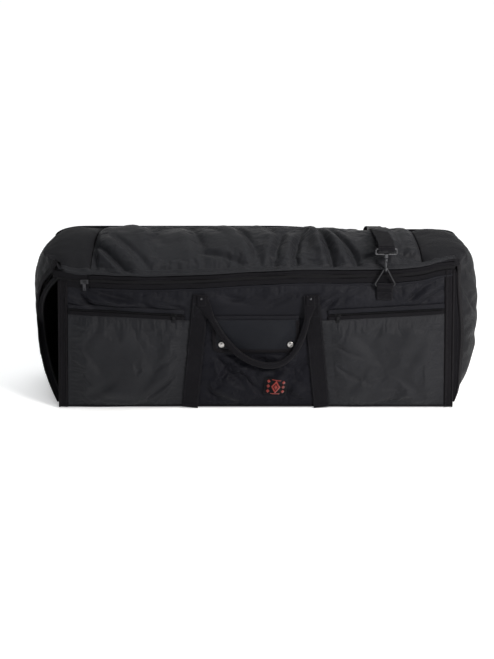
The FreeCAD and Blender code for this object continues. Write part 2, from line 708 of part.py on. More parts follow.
# ---------------------------------------------------------------- check and write
doc.recompute()
for item in doc.Objects:
    if "Invalid" in item.State or "Error" in item.State:
        raise RuntimeError(f"{item.Label}: {item.State}")
os.makedirs("parts", exist_ok=True)
for item in SUBPARTS:
    shape = item.Shape
    if shape.isNull() or not shape.isValid() or shape.Volume < 1:
        raise RuntimeError(f"{item.Label}: shape is null, invalid or empty")
    shape.exportStep(f"parts/{item.Label}.step")
print(len(SUBPARTS), "sub-parts")
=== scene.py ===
"""Telescope carry case: the looks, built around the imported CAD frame.  Metres, +Z up."""
import json
import math

import bpy
import numpy as np
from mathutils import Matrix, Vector, noise


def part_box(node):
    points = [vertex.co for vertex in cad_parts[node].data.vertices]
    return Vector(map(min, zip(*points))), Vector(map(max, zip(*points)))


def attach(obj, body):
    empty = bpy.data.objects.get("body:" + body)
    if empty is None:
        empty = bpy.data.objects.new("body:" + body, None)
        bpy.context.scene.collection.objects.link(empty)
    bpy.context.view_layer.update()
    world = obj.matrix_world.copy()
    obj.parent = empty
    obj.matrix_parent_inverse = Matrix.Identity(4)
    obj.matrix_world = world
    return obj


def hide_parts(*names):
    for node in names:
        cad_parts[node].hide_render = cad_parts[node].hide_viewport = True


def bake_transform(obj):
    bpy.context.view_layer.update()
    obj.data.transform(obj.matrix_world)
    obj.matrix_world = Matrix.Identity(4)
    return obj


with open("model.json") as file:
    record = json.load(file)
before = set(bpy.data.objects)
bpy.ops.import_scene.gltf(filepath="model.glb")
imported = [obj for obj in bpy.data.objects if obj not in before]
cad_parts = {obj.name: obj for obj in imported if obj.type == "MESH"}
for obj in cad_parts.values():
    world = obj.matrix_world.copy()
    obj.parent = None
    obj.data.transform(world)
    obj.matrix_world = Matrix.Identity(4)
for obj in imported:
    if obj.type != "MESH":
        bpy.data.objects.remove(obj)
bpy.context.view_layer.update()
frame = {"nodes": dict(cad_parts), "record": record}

# ------------------------------------------------------------------ sizes
# Those that the frame doesn't give repeat the part's source.
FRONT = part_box("front_panel")[0][1]
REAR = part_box("back_panel")[1][1]
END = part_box("right_end_panel")[1][0]
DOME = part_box("top_panel")[1][2]
DOOR_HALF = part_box("front_panel")[1][0]
BASE_HALF = DOOR_HALF + 0.002
REAR_HALF = END - 0.024
RIM_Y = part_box("bottom_panel")[0][1]
REAR_TOP = 0.3715
BULGE_Z = 0.180
SHOULDER_Z = 0.338
SEAM_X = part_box("top_panel")[1][0]
TAPER = 0.014 / 0.346
ZIP_Z, ZIP_SLOPE = 0.322, 0.025
ZIP_SAG = (
    # x, and how far the zip lies off its straight line there: it dips between the handles and
    # peaks at the corners
    (-0.60, 0.010), (-0.450, 0.010), (-0.428, 0.005), (-0.410, 0.002), (-0.380, 0.002),
    (-0.310, -0.003), (-0.245, -0.006), (-0.128, -0.0055), (0.0, -0.001), (0.11, 0.001),
    (0.217, -0.002), (0.328, -0.003), (0.375, 0.000), (0.398, 0.004), (0.420, 0.010),
    (0.450, 0.014), (0.60, 0.013),
)
TAPE = 0.017  # half the main zip's width
SETTLE_FRAMES = 14
CLOTH, PATCH = 0.0015, 0.0012  # thickness of the walls' cloth and of the pockets'
LINING_GAP = 0.0105
BINDING = 0.022  # width
POCKET_Z, POCKET_RISE, POCKET_BAND = 0.222, 0.055, 0.011
POCKET_INNER, POCKET_FOOT = 0.170, 0.004
WEB, RIBS = 0.038, 12  # the webbing's width, and the ribs across it
STRIP, STRAP = 0.0022, 0.0019  # thickness of the sewn webbing and of the shoulder strap
WEB_SEAMS = (-WEB / 2 + 0.003, WEB / 2 - 0.003)
WEB_TOP_X, WEB_FOOT_X, WEB_TOP_Z = 0.128, 0.158, 0.281
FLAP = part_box("centre_flap")
FLAP_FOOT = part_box("flap_binding")[0][2]
FLAP_TOP = FLAP[1][2]
LABEL_X = (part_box("label_patch")[0][0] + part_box("label_patch")[1][0]) / 2
LABEL_Z = (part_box("label_patch")[0][2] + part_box("label_patch")[1][2]) / 2
LABEL_LIFT = 0.0018
SNAP_X, SNAP_Z = 0.081, 0.162
RIVET_X, RIVET_Z = 0.127, 0.2735
ANCHOR = 0.298  # the strap's tabs, out from the middle
SIDES = ((-1, "left"), (1, "right"))
FORWARD, BACKWARD = Vector((0, -1, 0)), Vector((0, 1, 0))


def zip_z(x):
    """Height of the main zip's centre line."""
    for (x0, off0), (x1, off1) in zip(ZIP_SAG, ZIP_SAG[1:]):
        if x <= x1:
            break
    return ZIP_Z + ZIP_SLOPE * x + off0 + (off1 - off0) * smooth(x0, x1, x)


def edge_x(z):
    """Half length of the door at height z."""
    return DOOR_HALF - TAPER * z


def pocket_z(x):
    """Height of the front pockets' zips."""
    return POCKET_Z + POCKET_RISE * abs(x)


def pocket_end(z):
    """Where a front pocket meets the door's side binding."""
    return edge_x(z) - BINDING - 0.0005


def web_x(z):
    """Middle of the webbing strips that run down from the handles."""
    return WEB_FOOT_X + (WEB_TOP_X - WEB_FOOT_X) * z / WEB_TOP_Z


def smooth(low, high, x):
    """0 below low, 1 above high, and a smooth step between."""
    t = min(max((x - low) / (high - low), 0.0), 1.0)
    return t * t * (3 - 2 * t)


def parabola(at, points):
    """The value at one place of the parabola through three (place, value) points."""
    total = 0.0
    for i, (here, value) in enumerate(points):
        weight = 1.0
        for j, (other, _) in enumerate(points):
            if i != j:
                weight *= (at - other) / (here - other)
        total += weight * value
    return total


def soft_min(a, b, k):
    """The lower of two values, rounded where they are closer than k."""
    h = max(k - abs(a - b), 0.0) / k
    return min(a, b) - h * h * k / 4


def bump(distance, width):
    """1 at no distance, dying out over the width."""
    return math.exp(-(distance / width) ** 2)


def fold(x, z, creases):
    """Height of the cloth's folds at a place: each crease is a groove with a roll beside it."""
    total = 0.0
    for x0, z0, x1, z1, width, depth in creases:
        run_x, run_z = x1 - x0, z1 - z0
        long = math.hypot(run_x, run_z)
        t = ((x - x0) * run_x + (z - z0) * run_z) / long ** 2
        if -0.25 < t < 1.25:
            side = ((x - x0) * run_z - (z - z0) * run_x) / long
            fade = smooth(-0.2, 0.25, t) * smooth(1.2, 0.75, t)
            wander = 0.006 * noise.noise(Vector((x * 9, z * 9, depth * 400)))
            groove = bump(side + wander, width)
            roll = bump(side + wander - 2.1 * width, 1.5 * width)
            total += fade * depth * (0.7 * roll - groove)
    return total


def pucker(away, along, pitch, reach, depth, seed):
    """Small gathers square to a seam, dying out with the distance from it."""
    if away < 0 or away > 5 * reach:
        return 0.0
    wave = noise.noise(Vector((along / pitch, seed, away * 9)))
    wave += 0.5 * noise.noise(Vector((along / pitch * 2.3, seed + 7, away * 14)))
    return depth * wave * math.exp(-away / reach) * smooth(0, 0.004, away)


def ripple(x, y, z, scale, height):
    """Gentle unevenness of stuffed cloth."""
    return height * noise.fractal(Vector((x, y, z)) * scale, 0.9, 2.1, 3)


# ------------------------------------------------------------------ making meshes
def make_object(name, verts, faces, uvs=None, material=None):
    """A smooth-shaded mesh object, with one uv for each vertex."""
    mesh = bpy.data.meshes.new(name)
    mesh.from_pydata([tuple(v) for v in verts], [], faces)
    mesh.update()
    if uvs is not None:
        layer = mesh.uv_layers.new(name="UVMap")
        for loop in mesh.loops:
            layer.data[loop.index].uv = uvs[loop.vertex_index]
    for polygon in mesh.polygons:
        polygon.use_smooth = True
    obj = bpy.data.objects.new(name, mesh)
    bpy.context.scene.collection.objects.link(obj)
    mesh.materials.append(material)
    return obj


def belong(piece, body, slot, *cad_nodes):
    """Puts a piece on a body in place of the CAD nodes it stands for; slot is not used."""
    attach(piece, body)
    if cad_nodes:
        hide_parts(*cad_nodes)
    return piece


def door_piece(piece, slot, *cad_nodes):
    """A piece that swings with the door."""
    return belong(piece, "door", slot, *cad_nodes)


def root_piece(piece, slot, *cad_nodes):
    """A piece that stays with the tub."""
    return belong(piece, "root", slot, *cad_nodes)


def grid(name, rows, columns, place, material, uv=None, flip=False):
    """A sheet of rows by columns quads; place(i / rows, j / columns) gives each point."""
    verts, uvs = [], []
    for i in range(rows + 1):
        for j in range(columns + 1):
            point = place(i / rows, j / columns)
            verts.append(point)
            uvs.append(uv(point) if uv else (point[0], point[2]))
    faces = []
    for i in range(rows):
        for j in range(columns):
            a = i * (columns + 1) + j
            quad = (a, a + columns + 1, a + columns + 2, a + 1)
            faces.append(quad[::-1] if flip else quad)
    return make_object(name, verts, faces, uvs, material)


def thicken(obj, thickness, offset=-1.0):
    """Gives a sheet its thickness, inwards unless offset says otherwise."""
    solid = obj.modifiers.new("thickness", "SOLIDIFY")
    solid.thickness = thickness
    solid.offset = offset
    solid.use_even_offset = False


def subdivide(obj):
    """Rounds a sheet's quads by one level of subdivision."""
    modifier = obj.modifiers.new("smooth", "SUBSURF")
    modifier.levels = 1
    modifier.render_levels = 1


def drape(cloth, rows, columns, free, slack=0.03, low=-0.004, high=0.008, push=4.0):
    """Lets a sewn piece, cut a little too large for its seams, settle into wrinkles.

    free(i / rows, j / columns, place) is 0 where the piece is sewn down and 1 where it is loose.
    """
    before = [vertex.co.copy() for vertex in cloth.data.vertices]
    normals = [vertex.normal.copy() for vertex in cloth.data.vertices]
    loose = [free(k // (columns + 1) / rows, k % (columns + 1) / columns, place)
             for k, place in enumerate(before)]
    sewn = [k for k, share in enumerate(loose) if share <= 0]
    cloth.vertex_groups.new(name="sewn").add(sewn, 1.0, "REPLACE")
    settle = cloth.modifiers.new("settle", "CLOTH")
    ways = settle.settings
    ways.quality = 5
    ways.mass = 0.01
    ways.tension_stiffness = 20
    ways.compression_stiffness = 20
    ways.shear_stiffness = 8
    ways.bending_stiffness = 0.05
    ways.vertex_group_mass = "sewn"
    ways.shrink_min = -slack
    ways.use_pressure = True
    ways.uniform_pressure_force = push
    ways.effector_weights.gravity = 0
    settle.collision_settings.use_collision = False
    settle.point_cache.frame_start = 1
    settle.point_cache.frame_end = SETTLE_FRAMES
    for number in range(1, SETTLE_FRAMES + 1):
        bpy.context.scene.frame_set(number)
    settled = cloth.evaluated_get(bpy.context.evaluated_depsgraph_get()).data
    after = [vertex.co.copy() for vertex in settled.vertices]
    cloth.modifiers.remove(settle)
    cloth.vertex_groups.clear()
    for vertex, start, end, out, share in zip(cloth.data.vertices, before, after, normals,
                                              loose):
        rise = (end - start).dot(out)
        vertex.co = end + out * (min(max(rise, low * share), high * share) - rise)
    bpy.context.scene.frame_set(1)


def path_frames(points):
    """Tangents along a list of points."""
    tangents = []
    for i in range(len(points)):
        before, after = points[max(i - 1, 0)], points[min(i + 1, len(points) - 1)]
        tangents.append((after - before).normalized())
    return tangents


def resample(points, step):
    """Points evenly spaced along a smooth line through the given ones."""
    points = [Vector(p) for p in points]
    dense = []
    for i in range(len(points) - 1):
        p0, p1 = points[max(i - 1, 0)], points[i]
        p2, p3 = points[i + 1], points[min(i + 2, len(points) - 1)]
        for k in range(12):
            t = k / 12
            dense.append(0.5 * ((2 * p1) + (p2 - p0) * t
                                + (2 * p0 - 5 * p1 + 4 * p2 - p3) * t ** 2
                                + (3 * p1 - p0 - 3 * p2 + p3) * t ** 3))
    dense.append(points[-1])
    lengths = [0.0]
    for a, b in zip(dense, dense[1:]):
        lengths.append(lengths[-1] + (b - a).length)
    count = max(2, round(lengths[-1] / step))
    out, k = [], 0
    for i in range(count + 1):
        want = lengths[-1] * i / count
        while k < len(lengths) - 2 and lengths[k + 1] < want:
            k += 1
        span = max(lengths[k + 1] - lengths[k], 1e-9)
        out.append(dense[k].lerp(dense[k + 1], (want - lengths[k]) / span))
    return out


def one_each(outs, points):
    """One direction for each point, from a list of them or from one that they share."""
    return [outs] * len(points) if isinstance(outs, Vector) else outs


def square_to(tangent, out):
    """The outward direction made square to a line, and the direction across both."""
    out = (out - tangent * out.dot(tangent)).normalized()
    return out, out.cross(tangent).normalized()


def tube_faces(rings, count):
    """Quads between rings of count vertices, and a face over each end."""
    faces = []
    for i in range(rings - 1):
        for k in range(count):
            n = (k + 1) % count
            faces.append((i * count + k, i * count + n, (i + 1) * count + n, (i + 1) * count + k))
    faces.append(tuple(range(count))[::-1])
    last = (rings - 1) * count
    faces.append(tuple(range(last, last + count)))
    return faces


def sweep(name, points, outs, section, material):
    """Carries a closed section (across, out) along points; outs point away from the cloth."""
    outs = one_each(outs, points)
    tangents = path_frames(points)
    verts, uvs = [], []
    run = 0.0
    for i, point in enumerate(points):
        if i:
            run += (point - points[i - 1]).length
        out, across = square_to(tangents[i], outs[i])
        for s, (a, o) in enumerate(section):
            verts.append(point + across * a + out * o)
            uvs.append((a if abs(a) > 1e-5 else s * 1e-3, run))
    return make_object(name, verts, tube_faces(len(points), len(section)), uvs, material)


def flat_section(width, thickness, ribs=0, rise=0.0):
    """A webbing section: rounded edges, and ribs across its outer side."""
    half, thin = width / 2, thickness / 2
    section = []
    steps = max(8, ribs * 4)
    for i in range(steps + 1):
        a = -half + width * i / steps
        wave = rise * (0.5 - 0.5 * math.cos(2 * math.pi * ribs * i / steps)) if ribs else 0
        edge = min(1.0, (half - abs(a)) / (thin * 1.2))
        section.append((a, thin * (0.35 + 0.65 * edge) + wave))
    for i in range(steps, -1, -4):
        a = -half + width * i / steps
        section.append((a * 0.995, -thin))
    return section[::-1]


def round_section(radius_a, radius_o, sides=16, groove=0.0):
    """An oval section, with an optional seam groove along its outer side."""
    section = []
    for i in range(sides):
        angle = 2 * math.pi * i / sides
        dent = 1 - groove * bump((angle - math.pi / 2), 0.35)
        section.append((radius_a * math.cos(angle) * dent, radius_o * math.sin(angle) * dent))
    return section


def join_meshes(name, chunks, material):
    """One object from several (verts, faces) chunks."""
    verts, faces = [], []
    for chunk_verts, chunk_faces in chunks:
        base = len(verts)
        verts.extend(chunk_verts)
        faces.extend(tuple(base + k for k in face) for face in chunk_faces)
    return make_object(name, verts, faces, None, material)


def capsule(start, end, out, radius, flat=0.7):
    """A short thread lying on cloth: six-sided, pointed at both ends."""
    axis = (end - start)
    side = axis.cross(out).normalized()
    verts = [start - out * radius * 0.6]
    for t in (0.2, 0.8):
        for k in range(6):
            angle = math.pi * k / 3
            verts.append(start + axis * t + side * radius * math.cos(angle)
                         + out * radius * flat * math.sin(angle))
    verts.append(end - out * radius * 0.6)
    faces = []
    for k in range(6):
        n = (k + 1) % 6
        faces.append((0, 1 + n, 1 + k))
        faces.append((1 + k, 1 + n, 7 + n, 7 + k))
        faces.append((7 + k, 7 + n, 13))
    return verts, faces


def stitch_line(points, outs, pitch=0.0042, length=0.003, radius=0.00042):
    """Threads along a line on cloth."""
    outs = one_each(outs, points)
    chunks = []
    travelled, following = 0.0, 0.0
    for i in range(len(points) - 1):
        step = points[i + 1] - points[i]
        long = step.length
        while following < travelled + long:
            t = (following - travelled) / max(long, 1e-9)
            start = points[i] + step * t
            direction = step.normalized()
            out = outs[i].normalized()
            chunks.append(capsule(start + out * radius * 0.4,
                                  start + direction * length + out * radius * 0.4, out, radius))
            following += pitch
        travelled += long
    return chunks


STITCHES = {"door": [], "root": [], "centre_flap": []}


def sew(body, points, outs, *sizes):
    """Adds a line of threads to those that ride on a body."""
    STITCHES[body] += stitch_line(points, outs, *sizes)


# ------------------------------------------------------------------ materials
class Tree:
    """A material's node tree while it is wired."""

    def __init__(self, owner):
        self.nodes, self.links = owner.node_tree.nodes, owner.node_tree.links

    def maths(self, operation, *values):
        made = self.nodes.new("ShaderNodeMath")
        made.operation = operation
        for index, value in enumerate(values):
            if hasattr(value, "is_output"):
                self.links.new(value, made.inputs[index])
            else:
                made.inputs[index].default_value = value
        return made.outputs[0]

    def noise(self, where, scale, detail, roughness):
        made = self.nodes.new("ShaderNodeTexNoise")
        made.inputs["Scale"].default_value = scale
        made.inputs["Detail"].default_value = detail
        made.inputs["Roughness"].default_value = roughness
        self.links.new(where, made.inputs["Vector"])
        return made.outputs["Fac"]

    def relief(self, principled, height, strength, distance):
        bumps = self.nodes.new("ShaderNodeBump")
        bumps.inputs["Strength"].default_value = strength
        bumps.inputs["Distance"].default_value = distance
        self.links.new(height, bumps.inputs["Height"])
        self.links.new(bumps.outputs["Normal"], principled.inputs["Normal"])


def shader(name, color, roughness, metallic=0.0, sheen=0.0, specular=0.5):
    """A material with one Principled node, and its tree."""
    material = bpy.data.materials.new(name)
    material.use_nodes = True
    principled = material.node_tree.nodes["Principled BSDF"]
    for key, value in (("Base Color", (*color, 1)), ("Roughness", roughness),
                       ("Metallic", metallic), ("Specular IOR Level", specular),
                       ("Sheen Weight", sheen), ("Sheen Roughness", 0.45)):
        principled.inputs[key].default_value = value
    return material, Tree(material), principled


def weave_height(tree, coordinates, pitch_u, pitch_v):
    """Over-and-under threads: the product of two waves across the cloth."""
    split = tree.nodes.new("ShaderNodeSeparateXYZ")
    tree.links.new(coordinates, split.inputs[0])
    u, v = [tree.maths("SINE", tree.maths("MULTIPLY", split.outputs[k], 2 * math.pi / pitch))
            for k, pitch in enumerate((pitch_u, pitch_v))]
    return tree.maths("MULTIPLY", u, v)


def cloth_material(name, color, lighter, roughness=0.72, sheen=0.35, pitch=(0.0011, 0.0011),
                   weave=0.35, distance=0.00035, use_uv=True, specular=0.04):
    """Woven cloth: threads in relief, uneven colour and a few dusty or worn places."""
    material, tree, principled = shader(name, color, roughness, sheen=sheen, specular=specular)
    where = tree.nodes.new("ShaderNodeTexCoord")
    threads = weave_height(tree, where.outputs["UV" if use_uv else "Object"], *pitch)
    broad = tree.noise(where.outputs["Object"], 7.0, 4.0, 0.55)
    fine = tree.noise(where.outputs["Object"], 420.0, 2.0, 0.6)
    mix = tree.nodes.new("ShaderNodeMix")
    mix.data_type = "RGBA"
    mix.inputs[6].default_value = (*color, 1)
    mix.inputs[7].default_value = (*lighter, 1)
    share = tree.maths("MULTIPLY_ADD", broad, 0.9, -0.12)
    speck = tree.maths("MULTIPLY", fine, 0.35)
    lit = tree.maths("MULTIPLY", threads, 0.16)
    total = tree.maths("ADD", tree.maths("ADD", share, speck), lit)
    clamp = tree.nodes.new("ShaderNodeClamp")
    tree.links.new(total, clamp.inputs[0])
    tree.links.new(clamp.outputs[0], mix.inputs[0])
    tree.links.new(mix.outputs[2], principled.inputs["Base Color"])
    rough = tree.maths("MULTIPLY_ADD", broad, 0.16, roughness - 0.08)
    tree.links.new(rough, principled.inputs["Roughness"])
    height = tree.maths("ADD", threads, tree.maths("MULTIPLY", fine, 0.6))
    tree.relief(principled, height, weave, distance)
    return material


def metal_material(name, color, roughness):
    """Plated metal with fine scuffs."""
    material, tree, principled = shader(name, color, roughness, metallic=1.0)
    where = tree.nodes.new("ShaderNodeTexCoord")
    scuff = tree.noise(where.outputs["Object"], 260.0, 3.0, 0.6)
    rough = tree.maths("MULTIPLY_ADD", scuff, 0.25, roughness - 0.1)
    tree.links.new(rough, principled.inputs["Roughness"])
    tree.relief(principled, scuff, 0.12, 0.0002)
    return material


def plastic_material(name, color, roughness, specular=0.5):
    """Moulded plastic with a fine texture."""
    material, tree, principled = shader(name, color, roughness, specular=specular)
    where = tree.nodes.new("ShaderNodeTexCoord")
    tree.relief(principled, tree.noise(where.outputs["Object"], 900.0, 2.0, 0.5), 0.2, 0.0001)
    return material


NYLON = cloth_material("nylon", (0.0080, 0.0082, 0.0096), (0.0160, 0.0163, 0.0188),
                       roughness=0.42, sheen=0.03, specular=0.09)
NYLON_DARK = cloth_material("nylon_dark", (0.0042, 0.0042, 0.0058), (0.0088, 0.0089, 0.0118),
                            roughness=0.42, sheen=0.02, specular=0.07)
NYLON_FLAP = cloth_material("nylon_flap", (0.0044, 0.0048, 0.0066), (0.0092, 0.0099, 0.0128),
                            roughness=0.42, sheen=0.02, specular=0.07)
# painted shade: the end walls' copy of the nylon is darker than the top's, for the ends turned away
# from the light; it is also rougher and less glossy
NYLON_END_SHADED = cloth_material("nylon_end_shaded", (0.0068, 0.0068, 0.0078), (0.0136, 0.0136, 0.0154),
                           roughness=0.56, sheen=0.02, specular=0.05)
# painted shade: the centre pocket's copy of the nylon is the darkest, for the shade under the
# handle and flap
NYLON_CENTRE_SHADED = cloth_material("nylon_centre_shaded", (0.0030, 0.0030, 0.0046), (0.0066, 0.0066, 0.0094),
                              roughness=0.40, sheen=0.02, specular=0.06)
LINING = cloth_material("lining", (0.0030, 0.0030, 0.0035), (0.0060, 0.0060, 0.0068), sheen=0.04)
WEBBING = cloth_material("webbing", (0.0036, 0.0034, 0.0044), (0.0090, 0.0085, 0.0106),
                         roughness=0.62, sheen=0.03, pitch=(0.0024, 0.0016), weave=0.8,
                         distance=0.0007)
BINDING_CLOTH = cloth_material("binding", (0.0042, 0.0038, 0.0046), (0.0092, 0.0084, 0.0100),
                               roughness=0.66, sheen=0.03, pitch=(0.0016, 0.0009), weave=0.6,
                               distance=0.0005)
ZIP_TAPE = cloth_material("zip_tape", (0.0038, 0.0036, 0.0044), (0.0085, 0.0081, 0.0096),
                          roughness=0.72, sheen=0.02, pitch=(0.0013, 0.0009), weave=0.5)
# painted shadow: near-black cloth laid in thin strips where the zip band sinks in and its edges
# cast shade
SHADOW_STRIP_CLOTH = cloth_material("groove", (0.0004, 0.0004, 0.0005), (0.0009, 0.0008, 0.0010),
                        roughness=0.9, sheen=0.0, weave=0.2, specular=0.0)
THREAD = cloth_material("thread", (0.010, 0.010, 0.012), (0.022, 0.022, 0.026),
                        roughness=0.45, sheen=0.05, use_uv=False, weave=0.2)
COIL = plastic_material("zip_coil", (0.0040, 0.0038, 0.0046), 0.50, 0.10)
PLASTIC = plastic_material("adjuster", (0.008, 0.008, 0.009), 0.42)
DARK_METAL = metal_material("dark_metal", (0.040, 0.040, 0.042), 0.34)
ZIP_METAL = metal_material("zip_metal", (0.045, 0.045, 0.048), 0.38)
PULL_METAL = metal_material("pull_metal", (0.014, 0.014, 0.015), 0.42)
HOOK_METAL = metal_material("hook_metal", (0.070, 0.070, 0.074), 0.34)
SNAP_METAL = metal_material("snap_metal", (0.34, 0.33, 0.32), 0.28)


# ------------------------------------------------------------------ camera, light and floor
def add_camera():
    """The front seen square on from a little above, a metre-wide object 2.6 m away."""
    elevation, away = math.radians(17), 2.62
    target = Vector((-0.021, FRONT, 0.196))
    camera_data = bpy.data.cameras.new("camera")
    camera_data.lens = 23.24 * away
    camera_data.sensor_width = 36
    camera = bpy.data.objects.new("camera", camera_data)
    camera.location = target + away * Vector((0, -math.cos(elevation), math.sin(elevation)))
    camera.rotation_euler = (math.pi / 2 - elevation, 0, 0)
    bpy.context.scene.collection.objects.link(camera)
    bpy.context.scene.camera = camera


def add_light(name, kind, place, aim, energy, color, spread):
    """A lamp aimed at a place: spread is a disk's diameter, or a sun's angle in radians."""
    lamp = bpy.data.lights.new(name, kind)
    if kind == "AREA":
        lamp.shape = "DISK"
        lamp.size = spread
    else:
        lamp.angle = spread
    lamp.energy = energy
    lamp.color = color
    light = bpy.data.objects.new(name, lamp)
    light.location = place
    light.rotation_euler = (Vector(aim) - light.location).to_track_quat("-Z", "Y").to_euler()
    bpy.context.scene.collection.objects.link(light)


def add_studio():
    """Soft lamps, a plain world that is brighter behind the object, and a pale floor."""
    add_light("key", "AREA", (1.02, -1.26, 1.08), (0.05, FRONT, 0.15), 36, (1.0, 0.975, 0.95),
              0.50)
    add_light("fill", "SUN", (-2.4, -2.2, 1.6), (0, 0, 0.2), 0.30, (0.88, 0.94, 1.0),
              math.radians(30))
    add_light("overhead", "SUN", (0.2, 0.5, 3.0), (0, 0, 0.2), 1.70, (0.97, 0.99, 1.0),
              math.radians(50))
    world = bpy.data.worlds.new("studio")
    world.use_nodes = True
    tree = Tree(world)
    background = tree.nodes["Background"]
    background.inputs[0].default_value = (1, 1, 1, 1)
    way = tree.nodes.new("ShaderNodeTexCoord")
    split = tree.nodes.new("ShaderNodeSeparateXYZ")
    tree.links.new(way.outputs["Generated"], split.inputs[0])
    behind = tree.maths("MAXIMUM", split.outputs[1], 0.0)
    glow = tree.maths("MULTIPLY_ADD", tree.maths("POWER", behind, 7.0), 0.35, 0.15)
    tree.links.new(glow, background.inputs[1])
    bpy.context.scene.world = world
    bpy.context.scene.view_settings.view_transform = "Standard"
    floor_material, _, principled = shader("floor", (0.93, 0.93, 0.93), 0.9, specular=0.0)
    principled.inputs["Emission Color"].default_value = (1, 1, 1, 1)
    principled.inputs["Emission Strength"].default_value = 0.36
    wide = 400.0
    floor = make_object("floor", [(-wide, -wide, 0), (wide, -wide, 0), (wide, wide, 0),
                                  (-wide, wide, 0)], [(0, 1, 2, 3)], None, floor_material)


add_camera()
add_studio()


# ------------------------------------------------------------------ the tub's form
def plan_half(y, z=0.0):
    """Half length at a place; the front corners are drawn in towards the top."""
    front = BASE_HALF - 0.018 * smooth(0.16, 0.34, z)
    return parabola(y, ((FRONT, front), (0.1 * REAR, END), (REAR, REAR_HALF)))


def end_half(z):
    """Half length at a height; the ends bulge furthest at BULGE_Z."""
    if z < BULGE_Z:
        return END - (END - BASE_HALF) * (1 - z / BULGE_Z) ** 2
    return END - 0.030 * ((z - BULGE_Z) / 0.16) ** 2


def x_half(y, z):
    """Half length of the tub at a place on its end."""
    return soft_min(plan_half(y, z), end_half(z), 0.03)


def rim_z(x):
    """Height of the top's front edge, where the zip tape begins."""
    return zip_z(x) + TAPE


def rear_top(x):
    """Height of the rear edge, a little higher over the left half."""
    pressed = 0.0055 * bump(x - 0.294, 0.05)
    return REAR_TOP + 0.009 * smooth(0.24, 0.04, x) * smooth(-0.53, -0.44, x) - pressed


def dome_z(x, y):
    """The top's height; it swells quickly behind the zip and falls a little to the rear."""
    return parabola(y, ((FRONT, rim_z(x)), (-0.007, DOME - 0.003), (REAR, rear_top(x))))


def shoulder_z(x):
    """How the top falls away over the ends."""
    past = max(0.0, (abs(x) - 0.430) / 0.084)
    return SHOULDER_Z - 0.008 + 0.075 * math.sqrt(max(0.0, 1 - past ** 2.4))


def top_z(x, y):
    """The tub's height over a place."""
    return soft_min(dome_z(x, y), shoulder_z(x), 0.03)


SHOULDER_X = 0.499


def left_rim_y(z):
    """The unzipped left rim hangs back, furthest a little above its middle."""
    depth, widest = 0.115, 0.185
    reach = 0.155 if z > widest else 0.170
    away = min(abs(z - widest) / reach, 1.0)
    return RIM_Y + depth * (1 - away ** 1.3)


TOP_CREASES = (
    # x0, y0, x1, y1, width, depth over the top, from front to rear
    (-0.372, -0.060, -0.290, -0.142, 0.0075, 0.0062),
    (-0.383, 0.020, -0.372, -0.140, 0.0080, 0.0045),
    (-0.345, -0.02, -0.250, -0.125, 0.011, 0.0045),
    (-0.300, 0.10, -0.215, -0.05, 0.014, 0.0040),
    (-0.170, 0.11, -0.120, -0.10, 0.013, 0.0040),
    (-0.070, 0.09, 0.010, -0.115, 0.012, 0.0050),
    (0.030, 0.11, 0.055, -0.05, 0.012, 0.0045),
    (0.148, 0.050, 0.181, -0.142, 0.0095, 0.0098),
    (0.182, 0.030, 0.238, -0.142, 0.0095, 0.0085),
    (0.104, 0.000, 0.088, -0.142, 0.0090, 0.0062),
    (0.062, 0.020, 0.042, -0.142, 0.0090, 0.0048),
    (0.330, 0.09, 0.345, -0.115, 0.012, 0.0045),
    (0.395, -0.125, 0.300, -0.085, 0.009, 0.0040),
    (-0.020, -0.122, -0.130, -0.086, 0.008, 0.0035),
    (0.240, -0.118, 0.330, -0.095, 0.008, 0.0035),
)
END_CREASES = (
    # y0, z0, y1, z1, width, depth on both end walls
    (-0.125, 0.33, -0.06, 0.22, 0.009, 0.0060),
    (-0.10, 0.35, -0.02, 0.27, 0.010, 0.0045),
    (0.12, 0.33, 0.03, 0.22, 0.012, 0.005),
    (-0.09, 0.02, 0.00, 0.10, 0.012, 0.005),
    (0.12, 0.02, 0.05, 0.11, 0.012, 0.005),
    (-0.10, 0.17, 0.00, 0.16, 0.012, 0.003),
)


def hoop_point(w, v):
    """A point of the cloth that runs up the left end, over the top and down the right end.

    w is 0 at the left foot, 1 at the left shoulder, 2 at the right one and 3 at the right foot;
    v runs from the front rim to the rear edge.
    """
    if w < 1 or w > 2:
        side = -1 if w < 1 else 1
        rise = w if w < 1 else 3 - w
        top_rim = top_z(SHOULDER_X, FRONT + 0.02)
        z_guess = rise * top_rim
        rim = left_rim_y(z_guess) if side < 0 else RIM_Y
        rim += (FRONT + 0.004 - rim) * smooth(0.93, 1.0, rise)
        y = rim + (REAR - rim) * v
        z = rise * top_z(SHOULDER_X, y)
        x = side * x_half(y, z)
        return Vector((x, y, z))
    a = (w - 1) * 2 - 1
    y = FRONT + 0.004 * abs(a) ** 20 + (REAR - FRONT) * v
    shoulder = x_half(y, top_z(SHOULDER_X, y))
    x = a * shoulder
    z = top_z(min(abs(x), SHOULDER_X) * math.copysign(1, x), y)
    return Vector((x, y, z))


